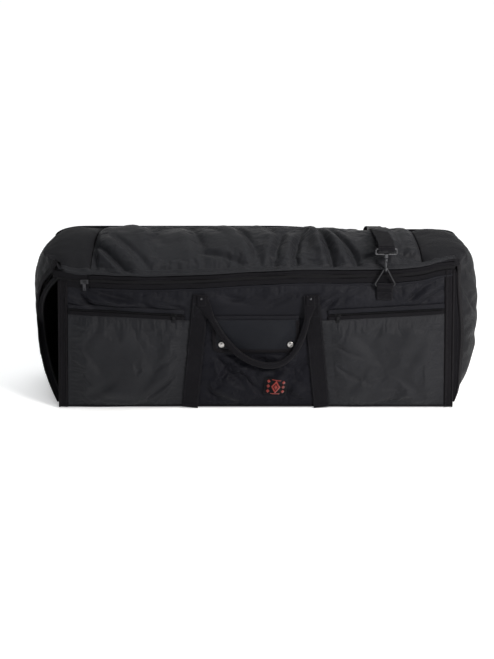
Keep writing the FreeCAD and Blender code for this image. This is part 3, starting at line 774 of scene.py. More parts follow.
def hoop_detail(w, v, point):
    """How far the cloth stands out from its plain form."""
    x, y, z = point
    near_rim = smooth(0.0, 0.10, v)
    near_rear = smooth(1.0, 0.93, v)
    hold = near_rim * near_rear
    if 1 <= w <= 2:
        seam = bump(abs(x) - SEAM_X, 0.005) * 0.0055
        seam += bump(abs(x) - SEAM_X, 0.03) * 0.003
        calm = smooth(0.92, 0.58, v)
        puff = 0.0045 * smooth(0.0, 0.16, v) * smooth(0.95, 0.50, v)
        puff *= smooth(0.50, 0.43, abs(x))
        folds = 1.6 * fold(x, y, TOP_CREASES) * calm
        uneven = ripple(x, y * 1.3, z, 6.5, 0.0050) * calm + ripple(x, y, z, 26, 0.0012)
        gather = pucker(y - FRONT, x, 0.016, 0.016, 0.0035, 3.0)
        return (hold * (puff + uneven) + near_rear * (folds * smooth(0.0, 0.035, v) + gather)
                - seam * hold)
    mirror = -1 if w < 1 else 1
    folds = fold(y, z + 0.006 * mirror, END_CREASES)
    puff = 0.004 * math.sin(math.pi * min(max(z / 0.34, 0), 1))
    uneven = ripple(x * mirror, y + mirror, z, 7.5, 0.0060) + ripple(x, y + mirror, z, 22, 0.0014)
    foot = smooth(0.0, 0.05, z)
    return hold * foot * (puff + folds + uneven)


def hoop_normal(surface, w, v, small):
    """The outward direction of a surface over the hoop's w and v."""
    along = surface(min(w + small, 3), v) - surface(max(w - small, 0), v)
    back = surface(w, min(v + small, 1)) - surface(w, max(v - small, 0))
    return along.cross(back).normalized()


def hoop_surface(w, v):
    """The displaced cloth."""
    point = hoop_point(w, v)
    return point + hoop_normal(hoop_point, w, v, 1e-3) * hoop_detail(w, v, point)


def hoop_uv(point):
    """The weave runs along the case on top, and up it at the ends."""
    return (point[0] if abs(point[0]) < 0.47 else point[2] + 0.2, point[1])


def seam_w(side, v, inward=0.0):
    """Where a seam of the top runs, straight from the front rim to the rear edge."""
    y = FRONT + (REAR - FRONT) * v
    shoulder = x_half(y, top_z(SHOULDER_X, y))
    return 1 + (side * (SEAM_X - inward) / shoulder + 1) / 2


def hoop_piece(name, w_from, w_to, columns, rows, slack, cad_nodes):
    """A piece of the hoop between two lines, each given as w at v."""
    # the end walls get the darker copy of the nylon, which is painted shade
    piece = grid(name, columns, rows,
                 lambda i, j: hoop_surface(w_from(j) + (w_to(j) - w_from(j)) * i, j),
                 NYLON if "top_panel" in cad_nodes else NYLON_END_SHADED, hoop_uv)
    drape(piece, columns, rows,
          lambda i, j, place: (smooth(0.010, 0.03, i) * smooth(0.990, 0.97, i)
                               * smooth(0.03, 0.06, j) * smooth(0.965, 0.55, j)),
          slack, -0.004, 0.0065)
    thicken(piece, CLOTH)
    subdivide(piece)
    root_piece(piece, "nylon", *cad_nodes)


hoop_piece("left_end_cloth", lambda v: 0.0, lambda v: seam_w(-1, v), 84, 60, 0.012,
           ("left_end_panel",))
hoop_piece("top_cloth", lambda v: seam_w(-1, v), lambda v: seam_w(1, v), 210, 74, 0.035,
           ("top_panel",))
hoop_piece("right_end_cloth", lambda v: seam_w(1, v), lambda v: 3.0, 84, 60, 0.015,
           ("right_end_panel",))


def back_point(i, j):
    """The rear panel, from the left foot to the right and from the base to the rear edge."""
    low = hoop_point(j, 1.0).z
    x = (2 * i - 1) * x_half(REAR, low)
    high = j * rear_top(x)
    z = high + (low - high) * smooth(0.78, 1.0, abs(2 * i - 1))
    inside = smooth(0, 0.08, i) * smooth(1, 0.92, i) * smooth(0, 0.1, j) * smooth(1, 0.93, j)
    out = 0.0035 + ripple(x, 3.0, z, 6.0, 0.004) + fold(x, z, BACK_CREASES)
    return Vector((x, REAR + inside * out, z))


BACK_CREASES = (
    (-0.45, 0.33, -0.33, 0.22, 0.012, 0.004), (0.45, 0.33, 0.33, 0.22, 0.012, 0.004),
    (-0.44, 0.03, -0.32, 0.11, 0.012, 0.004), (0.44, 0.03, 0.32, 0.11, 0.012, 0.004),
    (-0.10, 0.35, -0.02, 0.25, 0.012, 0.003), (0.08, 0.03, 0.02, 0.14, 0.014, 0.003),
)
back = grid("back_cloth", 150, 56, back_point, NYLON, flip=True)
thicken(back, CLOTH)
subdivide(back)
root_piece(back, "nylon", "back_panel")


def base_point(i, j):
    """The base's cloth, just off the floor."""
    y = RIM_Y + (REAR - RIM_Y) * j
    x = (2 * i - 1) * min(plan_half(y), BASE_HALF)
    return Vector((x, y, 0.0004))


base = grid("base_cloth", 60, 20, base_point, NYLON_DARK, lambda p: (p[0], p[1]))
thicken(base, CLOTH, offset=1.0)
root_piece(base, "nylon", "bottom_panel")


# ------------------------------------------------------------------ inside of the tub
def lining_point(w, v):
    """The lining follows the outer cloth about a centimetre inside it."""
    normal = hoop_normal(hoop_point, w, v, 1e-3)
    inner = hoop_point(w, v) - normal * LINING_GAP
    inner.y = min(inner.y, REAR - LINING_GAP)
    inner.z = max(inner.z, LINING_GAP)
    inner += normal * ripple(inner.x, inner.y + 5, inner.z, 9, 0.0015)
    return inner


lining = grid("lining_hoop", 170, 34, lambda i, j: lining_point(3 * i, j), LINING, hoop_uv,
              flip=True)
root_piece(lining, "lining", "tub_lining", "top_foam", "left_end_foam", "right_end_foam")
subdivide(lining)


def lining_back(i, j):
    """The rear panel's lining."""
    point = back_point(i, j)
    return Vector((point.x * 0.982, REAR - LINING_GAP + ripple(point.x, 7, point.z, 9, 0.001),
                   LINING_GAP + point.z * 0.945))


root_piece(grid("lining_back", 90, 34, lining_back, LINING), "lining", "back_foam")


def lining_base(i, j):
    """The base's lining."""
    y = RIM_Y + (REAR - LINING_GAP - RIM_Y) * j
    x = (2 * i - 1) * (BASE_HALF - 0.006)
    return Vector((x, y, LINING_GAP + ripple(x, y, 2, 8, 0.0008)))


root_piece(grid("lining_base", 90, 24, lining_base, LINING, lambda p: (p[0], p[1])), "lining",
           "bottom_foam")

# ------------------------------------------------------------------ the door's cloth
DOOR_LOW = 0.003
DOOR_CREASES = (
    # x0, z0, x1, z1, width, depth
    (-0.452, 0.325, -0.372, 0.246, 0.0075, 0.0075),
    (-0.450, 0.300, -0.395, 0.262, 0.0070, 0.0055),
    (-0.420, 0.312, -0.290, 0.262, 0.0080, 0.0060),
    (-0.372, 0.292, -0.235, 0.250, 0.0080, 0.0050),
    (-0.300, 0.288, -0.175, 0.272, 0.0090, 0.0045),
    (-0.240, 0.262, -0.165, 0.243, 0.0060, 0.0035),
    (-0.105, 0.292, 0.000, 0.252, 0.0090, 0.0040),
    (-0.080, 0.265, 0.020, 0.285, 0.0090, 0.0030),
    (0.110, 0.296, 0.020, 0.246, 0.0090, 0.0040),
    (0.235, 0.305, 0.150, 0.270, 0.0075, 0.0050),
    (0.215, 0.288, 0.158, 0.248, 0.0070, 0.0045),
    (0.265, 0.305, 0.195, 0.262, 0.0080, 0.0045),
    (0.445, 0.338, 0.350, 0.268, 0.0080, 0.0070),
    (0.430, 0.318, 0.330, 0.300, 0.0075, 0.0045),
    (0.445, 0.300, 0.380, 0.262, 0.0075, 0.0040),
    (-0.090, 0.120, 0.000, 0.030, 0.0130, 0.0045),
    (0.115, 0.130, 0.060, 0.020, 0.0130, 0.0045),
    (-0.120, 0.050, -0.030, 0.010, 0.0110, 0.0035),
    (-0.060, 0.135, 0.090, 0.100, 0.0130, 0.0035),
)


def door_top(x):
    """The upper edge of the door's cloth, under the zip's tape."""
    return zip_z(x) - TAPE + 0.003


def door_out(x, z):
    """How far the door's cloth stands out of its plain plane."""
    across = smooth(edge_x(z), edge_x(z) - 0.07, abs(x))
    up = smooth(0.0, 0.05, z) * smooth(door_top(x) + 0.004, door_top(x) - 0.05, z)
    puff = (0.0028 + 0.0042 * smooth(0.14, 0.24, abs(x))) * across * up
    body = ripple(x, 11.0, z, 6.0, 0.0035) + ripple(x, 12.0, z, 19, 0.0012)
    gather = pucker(door_top(x) - z, x, 0.024, 0.012, 0.0018, 9.0)
    gather += pucker(edge_x(z) - 0.020 - abs(x), z, 0.020, 0.012, 0.0028, 13.0 + x)
    relief = across ** 0.5 * up * (body + 1.9 * fold(x, z, DOOR_CREASES)) + gather
    seat = 1 - 0.85 * bump(z - pocket_z(x), 0.017) * smooth(0.15, 0.175, abs(x))
    under_flap = bump(z - FLAP_TOP - 0.022, 0.030) * smooth(0.125, 0.105, abs(x))
    out = seat * (puff + max(relief, -0.0060 - puff))
    return out - under_flap * (0.85 * max(out, 0.0) + 0.0010)


def on_door(x, z, lift=0.0):
    """The place on the door's cloth in front of (x, z), or lift further out."""
    return Vector((x, FRONT - lift - door_out(x, z), z))


def door_normal(x, z):
    """The direction out of the door's cloth in front of (x, z)."""
    small = 2e-3
    along = on_door(x + small, z) - on_door(x - small, z)
    up = on_door(x, z + small) - on_door(x, z - small)
    return along.cross(up).normalized()


def door_point(i, j):
    """The door's outer cloth, whose foot isn't quite straight."""
    a = 2 * i - 1
    x_low = a * edge_x(DOOR_LOW)
    top_guess = door_top(x_low * 0.985)
    foot = DOOR_LOW + 0.0035 * bump(x_low - 0.01, 0.16) + 0.0012 * math.sin(x_low * 21)
    z = foot + (top_guess - foot) * j
    x = a * edge_x(z)
    return on_door(x, z)


def door_free(i, j, place):
    """The door's cloth is loose only above its pockets, between the sewn strips."""
    x, z = abs(place.x), place.z
    foot = pocket_z(x) + POCKET_BAND + 0.004 if x > web_x(z) else FLAP_TOP + 0.048
    loose = smooth(foot, foot + 0.012, z)
    loose *= smooth(door_top(place.x) - 0.006, door_top(place.x) - 0.018, z)
    loose *= smooth(edge_x(z) - BINDING - 0.003, edge_x(z) - BINDING - 0.014, x)
    loose *= smooth(WEB / 2 + 0.002, WEB / 2 + 0.012, abs(x - web_x(z)))
    if 0.250 < z < 0.335:
        loose *= smooth(WEB / 2 + 0.002, WEB / 2 + 0.012, abs(place.x - ANCHOR))
    return loose


# The door's cloth takes the darker nylon: partly its own tone, partly painted shade under the zip
# band.
door_cloth = grid("front_cloth", 300, 110, door_point, NYLON_DARK)
drape(door_cloth, 300, 110, door_free, 0.014, -0.003, 0.004)
thicken(door_cloth, CLOTH)
door_piece(door_cloth, "nylon", "front_panel")


def door_back_point(i, j):
    """The door's lining, which shows when the door hangs open."""
    front_point = door_point(i, j)
    x, z = front_point.x * 0.996, front_point.z + 0.010 * j
    pillow = smooth(0, 0.06, i) * smooth(1, 0.94, i) * smooth(0, 0.1, j) * smooth(1, 0.9, j)
    return Vector((x, FRONT + 0.0092 + 0.0012 * pillow * (1 + ripple(x, 4, z, 12, 1.0)), z))


door_inside = grid("door_lining_cloth", 120, 44, door_back_point, LINING, flip=True)
thicken(door_inside, 0.001)
door_piece(door_inside, "lining", "door_lining", "door_foam")


def side_top(side):
    """Height of a side's tapes, a little above the corner of the door's cloth."""
    return door_top(side * 0.455) + 0.008


# the tape that closes the raw edge down each side of the door
for side, name in SIDES:
    line = []
    for k in range(61):
        z = DOOR_LOW + (side_top(side) - DOOR_LOW) * k / 60
        line.append(Vector((side * (edge_x(z) - 0.001), FRONT + 0.0048, z)))
    door_piece(sweep(f"{name}_edge_wrap", line, Vector((side, 0, 0)),
                     flat_section(0.0105, 0.003), BINDING_CLOTH), "binding")


def line_on_door(centre, lift, step=0.004):
    """Points along (x, z) ones on the door's cloth, and the directions out of it there.

    lift is how far out they lie, or gives that for a height.
    """
    flat = resample([Vector((x, 0, z)) for x, z in centre], step)
    rise = lift if callable(lift) else lambda z: lift
    return ([on_door(p.x, p.z, rise(p.z)) for p in flat], [door_normal(p.x, p.z) for p in flat])


def band_on_door(name, centre, width, thickness, lift, material, ribs=0, step=0.006):
    """A tape that follows the door's cloth along (x, z) points."""
    return sweep(name, *line_on_door(centre, lift + thickness / 2, step),
                 flat_section(width, thickness, ribs, 0.0003), material)


BIND_LIFT = 0.0004
for side, name in SIDES:
    def down_side(out_by, count):
        """(x, z) points down the door's side, out_by in from its edge."""
        return [(side * (edge_x(z) - out_by), z)
                for z in np.linspace(DOOR_LOW, side_top(side), count)]

    band = band_on_door(f"{name}_binding_band", down_side(BINDING / 2, 24), BINDING, 0.0016,
                        BIND_LIFT, BINDING_CLOTH)
    door_piece(band, "binding", f"{name}_door_binding")
    for out_by, radius in ((0.0015, 0.0021), (BINDING - 0.004, 0.0017)):
        points, outs = line_on_door(down_side(out_by, 24), BIND_LIFT + 0.0022, 0.008)
        bead = sweep(f"{name}_piping_{round(out_by * 1e4)}", points, outs,
                     round_section(radius, radius, 10), BINDING_CLOTH)
        door_piece(bead, "binding")
    for out_by in (0.0065, 0.0145):
        sew("door", *line_on_door(down_side(out_by, 20), BIND_LIFT + 0.0018))

# ------------------------------------------------------------------ front pockets
POCKET_LIFT = 0.0022
LEFT_POCKET_CREASES = (
    (-0.43, 0.20, -0.35, 0.08, 0.0150, 0.0050), (-0.30, 0.215, -0.24, 0.10, 0.0170, 0.0040),
    (-0.42, 0.02, -0.33, 0.08, 0.0130, 0.0045), (-0.205, 0.19, -0.27, 0.05, 0.0140, 0.0045),
    (-0.185, 0.095, -0.260, 0.030, 0.0080, 0.0035), (-0.36, 0.21, -0.41, 0.15, 0.0110, 0.0035),
    (-0.185, 0.135, -0.240, 0.105, 0.0070, 0.0030), (-0.29, 0.02, -0.37, 0.03, 0.0090, 0.0025),
)
RIGHT_POCKET_CREASES = (
    (0.43, 0.22, 0.35, 0.10, 0.0150, 0.0050), (0.24, 0.20, 0.31, 0.09, 0.0170, 0.0045),
    (0.42, 0.02, 0.33, 0.09, 0.0130, 0.0045), (0.21, 0.03, 0.27, 0.12, 0.0120, 0.0040),
    (0.185, 0.160, 0.250, 0.135, 0.0070, 0.0035), (0.190, 0.110, 0.245, 0.080, 0.0070, 0.0035),
    (0.30, 0.225, 0.27, 0.17, 0.0110, 0.0035), (0.34, 0.02, 0.42, 0.035, 0.0090, 0.0025),
)


def pocket_out(side, x, z, top):
    """A pocket's patch bellies out a little between its sewn edges."""
    inner, outer = web_x(z) + 0.012, pocket_end(z)
    across = smooth(inner, inner + 0.05, abs(x)) * smooth(outer, outer - 0.05, abs(x))
    up = smooth(0.0, 0.05, z) * smooth(top + 0.002, top - 0.03, z)
    creases = LEFT_POCKET_CREASES if side < 0 else RIGHT_POCKET_CREASES
    body = 0.0045 + fold(x, z, creases) + ripple(x, 21.0, z, 8, 0.0030)
    seed = 30.0 + side
    gather = pucker(top - z, x, 0.013, 0.013, 0.0030, seed)
    gather += pucker(abs(x) - inner - 0.006, z, 0.012, 0.016, 0.0034, seed + 5)
    gather += pucker(outer - abs(x), z, 0.014, 0.012, 0.0024, seed + 9)
    return max(across * up * body + gather, -0.0012)


def keep_off_door(cloth, gap):
    """Keeps a settled piece in front of the door's cloth."""
    for vertex in cloth.data.vertices:
        wall = on_door(vertex.co.x, vertex.co.z, gap).y
        vertex.co.y = min(vertex.co.y, wall)


def pocket_piece(side, name):
    """A front pocket: its patch, its zip between two tapes and the welt over it."""
    def place(i, j):
        top_guess = pocket_z(POCKET_INNER + i * 0.27) - POCKET_BAND
        z = POCKET_FOOT + (top_guess - POCKET_FOOT) * j
        inner, outer = web_x(z) + WEB / 2 - 0.006, pocket_end(z) + 0.0005
        x = side * (inner + (outer - inner) * i)
        top = pocket_z(x) - POCKET_BAND
        z = POCKET_FOOT + (top - POCKET_FOOT) * j
        return on_door(x, z, POCKET_LIFT + pocket_out(side, x, z, top))

    def pocket_line(low_x, high_x, count, above):
        return [(side * x, pocket_z(x) + above) for x in np.linspace(low_x, high_x, count)]

    panel = grid(f"{name}_cloth", 150, 110, place, NYLON, flip=side < 0)
    drape(panel, 150, 110,
          lambda i, j, spot: (smooth(0.085, 0.12, i) * smooth(0.97, 0.94, i)
                              * smooth(0.015, 0.05, j) * smooth(0.975, 0.94, j)),
          0.024, -0.0035, 0.0055)
    keep_off_door(panel, 0.0014)
    thicken(panel, PATCH)
    door_piece(panel, "nylon", f"{name}_panel")
    outer = pocket_end(0.24) - 0.004
    top_seam = [(side * x, pocket_z(x) - POCKET_BAND - 0.0025)
                for x in np.linspace(POCKET_INNER + 0.004, outer, 16)]
    sew("door", *line_on_door(top_seam, POCKET_LIFT + 0.0004))
    outer = pocket_end(pocket_z(pocket_end(0.24)))
    for row, (low, high) in enumerate(((-POCKET_BAND, -0.0026), (0.0026, POCKET_BAND))):
        strip = band_on_door(f"{name}_zip_tape_{row}",
                             pocket_line(POCKET_INNER - 0.002, outer, 20, (low + high) / 2),
                             high - low, 0.0011, POCKET_LIFT, ZIP_TAPE)
        door_piece(strip, "zip_tape", *((f"{name}_tape",) if row == 0 else ()))
    flaplet = pocket_line(POCKET_INNER - 0.002, outer, 20, 0.0085)
    door_piece(band_on_door(f"{name}_welt", flaplet, 0.0115, 0.0016, POCKET_LIFT, NYLON_DARK),
               "nylon")
    sew("door", *line_on_door([(x, z + 0.0035) for x, z in flaplet], POCKET_LIFT + 0.0019))
    points, outs = line_on_door(pocket_line(POCKET_INNER, outer, 20, 0.0), POCKET_LIFT + 0.0004)
    door_piece(zip_teeth(f"{name}_teeth", points, outs, 0.0018, 0.0022), "zip_coil",
               f"{name}_coil")


def tooth(place, along, across, out, half_wide, half_long, height):
    """One turn of a coil: a rounded loop that leans over the middle of the zip."""
    verts, faces = [], []
    ring = ((-1.0, 0.0), (-0.8, 0.75), (0.0, 1.0), (0.8, 0.75), (1.0, 0.0))
    for t in (-1, 1):
        for a, h in ring:
            narrow = 1 - 0.25 * (h > 0.9)
            verts.append(place + across * a * half_wide + along * t * half_long * narrow
                         + out * h * height)
    count = len(ring)
    for k in range(count - 1):
        faces.append((k, k + 1, count + k + 1, count + k))
    faces.append(tuple(range(count))[::-1])
    faces.append(tuple(range(count, 2 * count)))
    faces.append((0, count, 2 * count - 1, count - 1))
    return verts, faces


def zip_teeth(name, points, outs, pitch, half_wide, one_side=0):
    """Interlocked coil: alternate turns start from either tape; one_side gives an open half."""
    line = resample(points, pitch)
    outs = one_each(outs, points)
    chunks = []
    tangents = path_frames(line)
    for k, place in enumerate(line):
        out = outs[min(int(k / len(line) * len(outs)), len(outs) - 1)]
        along = tangents[k]
        across = out.cross(along).normalized()
        side = one_side or (1 if k % 2 else -1)
        shift = across * side * half_wide * 0.42
        chunks.append(tooth(place + shift, along, across, out, half_wide * 0.78,
                            pitch * 0.40, 0.0013))
    return join_meshes(name, chunks, COIL)


for side, name in SIDES:
    pocket_piece(side, f"{name}_pocket")

# ------------------------------------------------------------------ centre pocket and flap
CENTRE_CREASES = (
    (-0.10, 0.135, -0.03, 0.060, 0.0110, 0.0060), (0.10, 0.150, 0.03, 0.075, 0.0120, 0.0055),
    (-0.13, 0.100, -0.03, 0.035, 0.0110, 0.0055), (0.00, 0.120, 0.09, 0.095, 0.0090, 0.0045),
    (0.11, 0.025, 0.02, 0.060, 0.0110, 0.0045), (-0.09, 0.015, 0.06, 0.022, 0.0080, 0.0030),
    (-0.06, 0.115, -0.09, 0.060, 0.0090, 0.0050), (-0.045, 0.095, 0.020, 0.040, 0.0085, 0.0045),
    (-0.12, 0.135, -0.095, 0.085, 0.0080, 0.0040),
)


def centre_point(i, j):
    """The centre pocket, from its foot up to under the flap."""
    z = POCKET_FOOT + 0.218 * j
    half = web_x(z) - WEB / 2 + 0.006
    x = half * (2 * i - 1)
    across = smooth(half, half - 0.05, abs(x))
    up = smooth(0.0, 0.04, z) * smooth(0.224, 0.19, z)
    out = across * up * (0.0030 + fold(x, z, CENTRE_CREASES) + ripple(x, 31, z, 11, 0.0035))
    out += pucker(half - 0.006 - abs(x), z, 0.012, 0.014, 0.0030, 51.0 + x)
    out = max(out, -0.0012)
    limit = 0.0030 if FLAP_FOOT - 0.012 < z else 0.009
    return on_door(x, z, POCKET_LIFT * 0.6 + min(out, limit))


# the centre pocket's cloth is the darkened nylon, which is painted shade
centre_cloth = grid("centre_pocket_cloth", 130, 104, centre_point, NYLON_CENTRE_SHADED)


def centre_free(i, j, spot):
    """Sewn at its edges and under the label, and smooth below the flap."""
    away = math.hypot(spot.x - LABEL_X, spot.z - LABEL_Z)
    return (smooth(0.085, 0.13, i) * smooth(0.915, 0.87, i) * smooth(0.015, 0.05, j)
            * smooth(FLAP_FOOT - 0.008, FLAP_FOOT - 0.03, spot.z) * smooth(0.036, 0.055, away))


drape(centre_cloth, 130, 104, centre_free, 0.045, -0.0035, 0.006)
keep_off_door(centre_cloth, 0.0014)
thicken(centre_cloth, PATCH)
door_piece(centre_cloth, "nylon", "centre_pocket_panel")

FLAP_Y = FLAP[0][1]
FLAP_HALF = FLAP[1][0]


def flap_out(x, z):
    """The flap hangs nearly flat, fuller in its middle and pulled in at its snaps."""
    down = (FLAP_TOP - z) / (FLAP_TOP - FLAP_FOOT)
    full = 0.0045 * math.sin(math.pi * min(max(down, 0), 1)) * smooth(FLAP_HALF, 0.03, abs(x))
    wave = 0.0020 * math.sin(x * 46 + 0.6) * down + ripple(x, 41, z, 12, 0.0012)
    snap = 0.003 * bump(abs(x) - 0.081, 0.016) * bump(z - 0.162, 0.02)
    return max(full + wave - snap, -0.0004) + 0.0034


def flap_line(x, z, lift=0.0):
    """The place on the flap in front of (x, z), or lift further out."""
    wall = FLAP_Y + 0.0020 - flap_out(x, z) - door_out(x, z) * 0.75
    return Vector((x, wall, z)) + Vector((0, -lift, 0))


def flap_point(i, j):
    """The flap's cloth, with its lower corners rounded."""
    z = FLAP_FOOT + 0.0035 + (FLAP_TOP + 0.002 - FLAP_FOOT - 0.0035) * j
    corner = 0.010 * smooth(0.14, 0.0, j) ** 2
    return flap_line((FLAP_HALF - corner) * (2 * i - 1), z)


flap = grid("flap_cloth", 72, 30, flap_point, NYLON_FLAP)
thicken(flap, CLOTH)
subdivide(flap)
belong(flap, "centre_flap", "nylon", "centre_flap")

outline = [(-FLAP_HALF + 0.001, FLAP_TOP), (-FLAP_HALF + 0.0005, FLAP_FOOT + 0.020),
           (-FLAP_HALF + 0.010, FLAP_FOOT + 0.0035), (-0.04, FLAP_FOOT + 0.0028),
           (0.04, FLAP_FOOT + 0.0028), (FLAP_HALF - 0.010, FLAP_FOOT + 0.0035),
           (FLAP_HALF - 0.0005, FLAP_FOOT + 0.020), (FLAP_HALF - 0.001, FLAP_TOP)]
flat_line = resample([Vector((x, 0, z)) for x, z in outline], 0.004)
edge_points = [flap_line(p.x, p.z, -0.0004) for p in flat_line]
flap_edge = sweep("flap_edge_tape", edge_points, FORWARD, flat_section(0.0085, 0.0036),
                  BINDING_CLOTH)
belong(flap_edge, "centre_flap", "binding", "flap_binding")
inner_line = [flap_line(p.x * 0.972, p.z + 0.0026, 0.0018) for p in flat_line]
sew("centre_flap", inner_line, FORWARD)
seam_tape = [(x, FLAP_TOP + 0.004) for x in np.linspace(-FLAP_HALF - 0.002, FLAP_HALF + 0.002, 9)]
flap_seam = band_on_door("flap_seam_tape", seam_tape, 0.013, 0.0022, 0.0022, NYLON_DARK)
door_piece(flap_seam, "nylon")
for above in (0.003, -0.002):
    sew("door", *line_on_door([(x, z + above) for x, z in seam_tape], 0.0052))


def turned(place, profile, sides=40):
    """A round piece whose axis is along -Y, from (radius, height out) pairs."""
    verts = []
    for radius, height in profile:
        for k in range(sides):
            angle = 2 * math.pi * k / sides
            verts.append(place + Vector((radius * math.cos(angle), -height,
                                         radius * math.sin(angle))))
    return verts, tube_faces(len(profile), sides)


CAP = ((0.0020, -0.0012), (0.0068, -0.0010), (0.0074, 0.0000), (0.0073, 0.0009),
       (0.0066, 0.0018), (0.0054, 0.0022), (0.0050, 0.0019), (0.0044, 0.0020),
       (0.0030, 0.0026), (0.0012, 0.0029), (0.0002, 0.0030))
caps = [turned(flap_line(side * SNAP_X, SNAP_Z, 0.0010), CAP) for side in (-1, 1)]
belong(join_meshes("flap_snap_caps", caps, SNAP_METAL), "centre_flap", "snap_metal", "snap_caps")
STUD = ((0.0050, -0.0006), (0.0052, 0.0004), (0.0036, 0.0008), (0.0026, 0.0012),
        (0.0028, 0.0022), (0.0016, 0.0026), (0.0002, 0.0026))
studs = [turned(on_door(side * SNAP_X, SNAP_Z, 0.0034), STUD) for side in (-1, 1)]
door_piece(join_meshes("pocket_snap_studs", studs, SNAP_METAL), "snap_metal", "snap_studs")

# ------------------------------------------------------------------ webbing on the front


def web_lift(z):
    """The strips lie over the pockets' edges low down and on the plain door higher up."""
    return POCKET_LIFT + 0.0012 * smooth(0.24, 0.20, z) + 0.0004


for side, name in SIDES:
    centre = [(side * web_x(z), z) for z in np.linspace(0.003, WEB_TOP_Z, 30)]
    points, outs = line_on_door(centre, lambda z: web_lift(z) + 0.0012)
    strip = sweep(f"{name}_front_strip", points, outs, flat_section(WEB, STRIP, RIBS, 0.00035),
                  WEBBING)
    door_piece(strip, "webbing", f"{name}_front_webbing")
    for offset in WEB_SEAMS:
        seam = [(side * web_x(z) + offset, z) for z in np.linspace(0.006, WEB_TOP_Z - 0.003, 24)]
        sew("door", *line_on_door(seam, lambda z: web_lift(z) + 0.0027))
    # a box of stitches with a cross in it
    middle, half, low, high = side * web_x(0.245), 0.014, 0.230, 0.262
    box_path = [(middle - half, low), (middle + half, low), (middle + half, high),
                (middle - half, high), (middle - half, low), (middle + half, high)]
    for ends in list(zip(box_path, box_path[1:])) + [(box_path[1], box_path[3])]:
        sew("door", *line_on_door(ends, lambda z: web_lift(z) + 0.0029))


# ------------------------------------------------------------------ grab handles
def handle_route(lean):
    """x, distance out from the wall and z of a hanging loop, as the CAD tube lies."""
    top, out = 0.263, 0.012
    return [(lean * x, out + o, z) for x, o, z in (
        (-0.124, 0.0, top), (-0.104, 0.002, 0.228), (-0.068, 0.007, 0.164),
        (-0.014, 0.011, 0.119), (0.052, 0.012, 0.108), (0.097, 0.008, 0.146),
        (0.118, 0.003, 0.214), (0.126, 0.0, top))]


def nurbs_line(points, samples=120):
    """A smooth line that keeps inside its points, as the CAD tube's arcs do."""
    count = len(points)
    out = []
    for s in range(samples + 1):
        t = s / samples * (count - 1)
        k = min(int(t), count - 2)
        f = t - k
        p0, p1 = Vector(points[max(k - 1, 0)]), Vector(points[k])
        p2, p3 = Vector(points[k + 1]), Vector(points[min(k + 2, count - 1)])
        w0, w1 = (1 - f) ** 3 / 6, (3 * f ** 3 - 6 * f ** 2 + 4) / 6
        w2, w3 = (-3 * f ** 3 + 3 * f ** 2 + 3 * f + 1) / 6, f ** 3 / 6
        out.append(p0 * w0 + p1 * w1 + p2 * w2 + p3 * w3)
    return out


def handle_piece(name, face, lean, body):
    """Webbing rolled into a grip: flat where it is sewn down, round with a seam between.

    body is also the name of the CAD node that it stands for.
    """
    wall = FRONT if face < 0 else REAR
    route = [Vector((x, wall + face * o, z)) for x, o, z in handle_route(lean)]
    line = nurbs_line(route)
    line[0], line[-1] = route[0], route[-1]
    line = resample(line, 0.003)
    tangents = path_frames(line)
    verts, uvs = [], []
    sides = 26
    run = 0.0
    for i, point in enumerate(line):
        if i:
            run += (point - line[i - 1]).length
        left = sum((line[k + 1] - line[k]).length for k in range(i, len(line) - 1))
        near = min(run, left)
        flatness = smooth(0.045, 0.0, near)
        twist = 0.25 * math.sin(run * 9.0) + 0.15
        out, across = square_to(tangents[i], Vector((0, face, 0)))
        wide = 0.0073 + 0.0075 * flatness + 0.0004 * math.sin(run * 60)
        deep = 0.0068 - 0.0042 * flatness
        lift = out * (-0.0045 * flatness)
        for k in range(sides):
            angle = 2 * math.pi * k / sides
            c, s = math.cos(angle), math.sin(angle)
            square = (abs(c) ** 2.6 + abs(s) ** 2.6) ** (-1 / 2.6)
            seam = 1 - 0.16 * bump(angle - math.pi * (0.36 + 0.05 * math.sin(run * 14)), 0.16)
            a, o = wide * c * square * seam, deep * s * square * seam
            ct, st = math.cos(twist * (1 - flatness)), math.sin(twist * (1 - flatness))
            verts.append(point + across * (a * ct - o * st) + out * (a * st + o * ct) + lift)
            uvs.append((angle / (2 * math.pi) * 0.05, run))
    belong(make_object(name, verts, tube_faces(len(line), sides), uvs, WEBBING), body, "webbing",
           body)
    seam_points, seam_outs = [], []
    for i in range(14, len(line) - 14):
        out, across = square_to(tangents[i], Vector((0, face, 0)))
        direction = (across * 0.72 + out * 0.70).normalized()
        seam_points.append(line[i] + direction * 0.0078)
        seam_outs.append(direction)
    threads = stitch_line(seam_points, seam_outs, 0.005, 0.0034, 0.00045)
    belong(join_meshes(f"{name}_stitches", threads, THREAD), body, "webbing")


handle_piece("front_grip", -1, 1, "front_handle")
handle_piece("rear_grip", 1, -1, "rear_handle")


# ------------------------------------------------------------------ webbing on the rear
def on_back(x, z, lift):
    """The place on the rear panel's cloth behind (x, z), lift further out."""
    i = (x / x_half(REAR, z) + 1) / 2
    point = back_point(min(max(i, 0), 1), min(z / REAR_TOP, 1.0))
    return Vector((x, point.y + lift, z))


for side, name in SIDES:
    line = resample([Vector((side * web_x(z), 0, z)) for z in np.linspace(0.003, WEB_TOP_Z, 30)],
                    0.004)
    points = [on_back(p.x, p.z, 0.0012) for p in line]
    strip = sweep(f"{name}_rear_strip", points, BACKWARD,
                  flat_section(WEB, STRIP, RIBS, 0.00035), WEBBING)
    root_piece(strip, "webbing", f"{name}_rear_webbing")
    for offset in WEB_SEAMS:
        sew("root", [on_back(p.x + offset, p.z, 0.0027) for p in line], BACKWARD)

# ------------------------------------------------------------------ main zip on the door
def zip_run_points(low_x, high_x, offset, step=0.006):
    """Points along the main zip, offset above its centre line."""
    return resample([Vector((x, 0, zip_z(x) + offset)) for x in np.linspace(low_x, high_x, 40)],
                    step)


ZIP_START, ZIP_END = -0.384, 0.458
ZIP_OUT = 0.0004


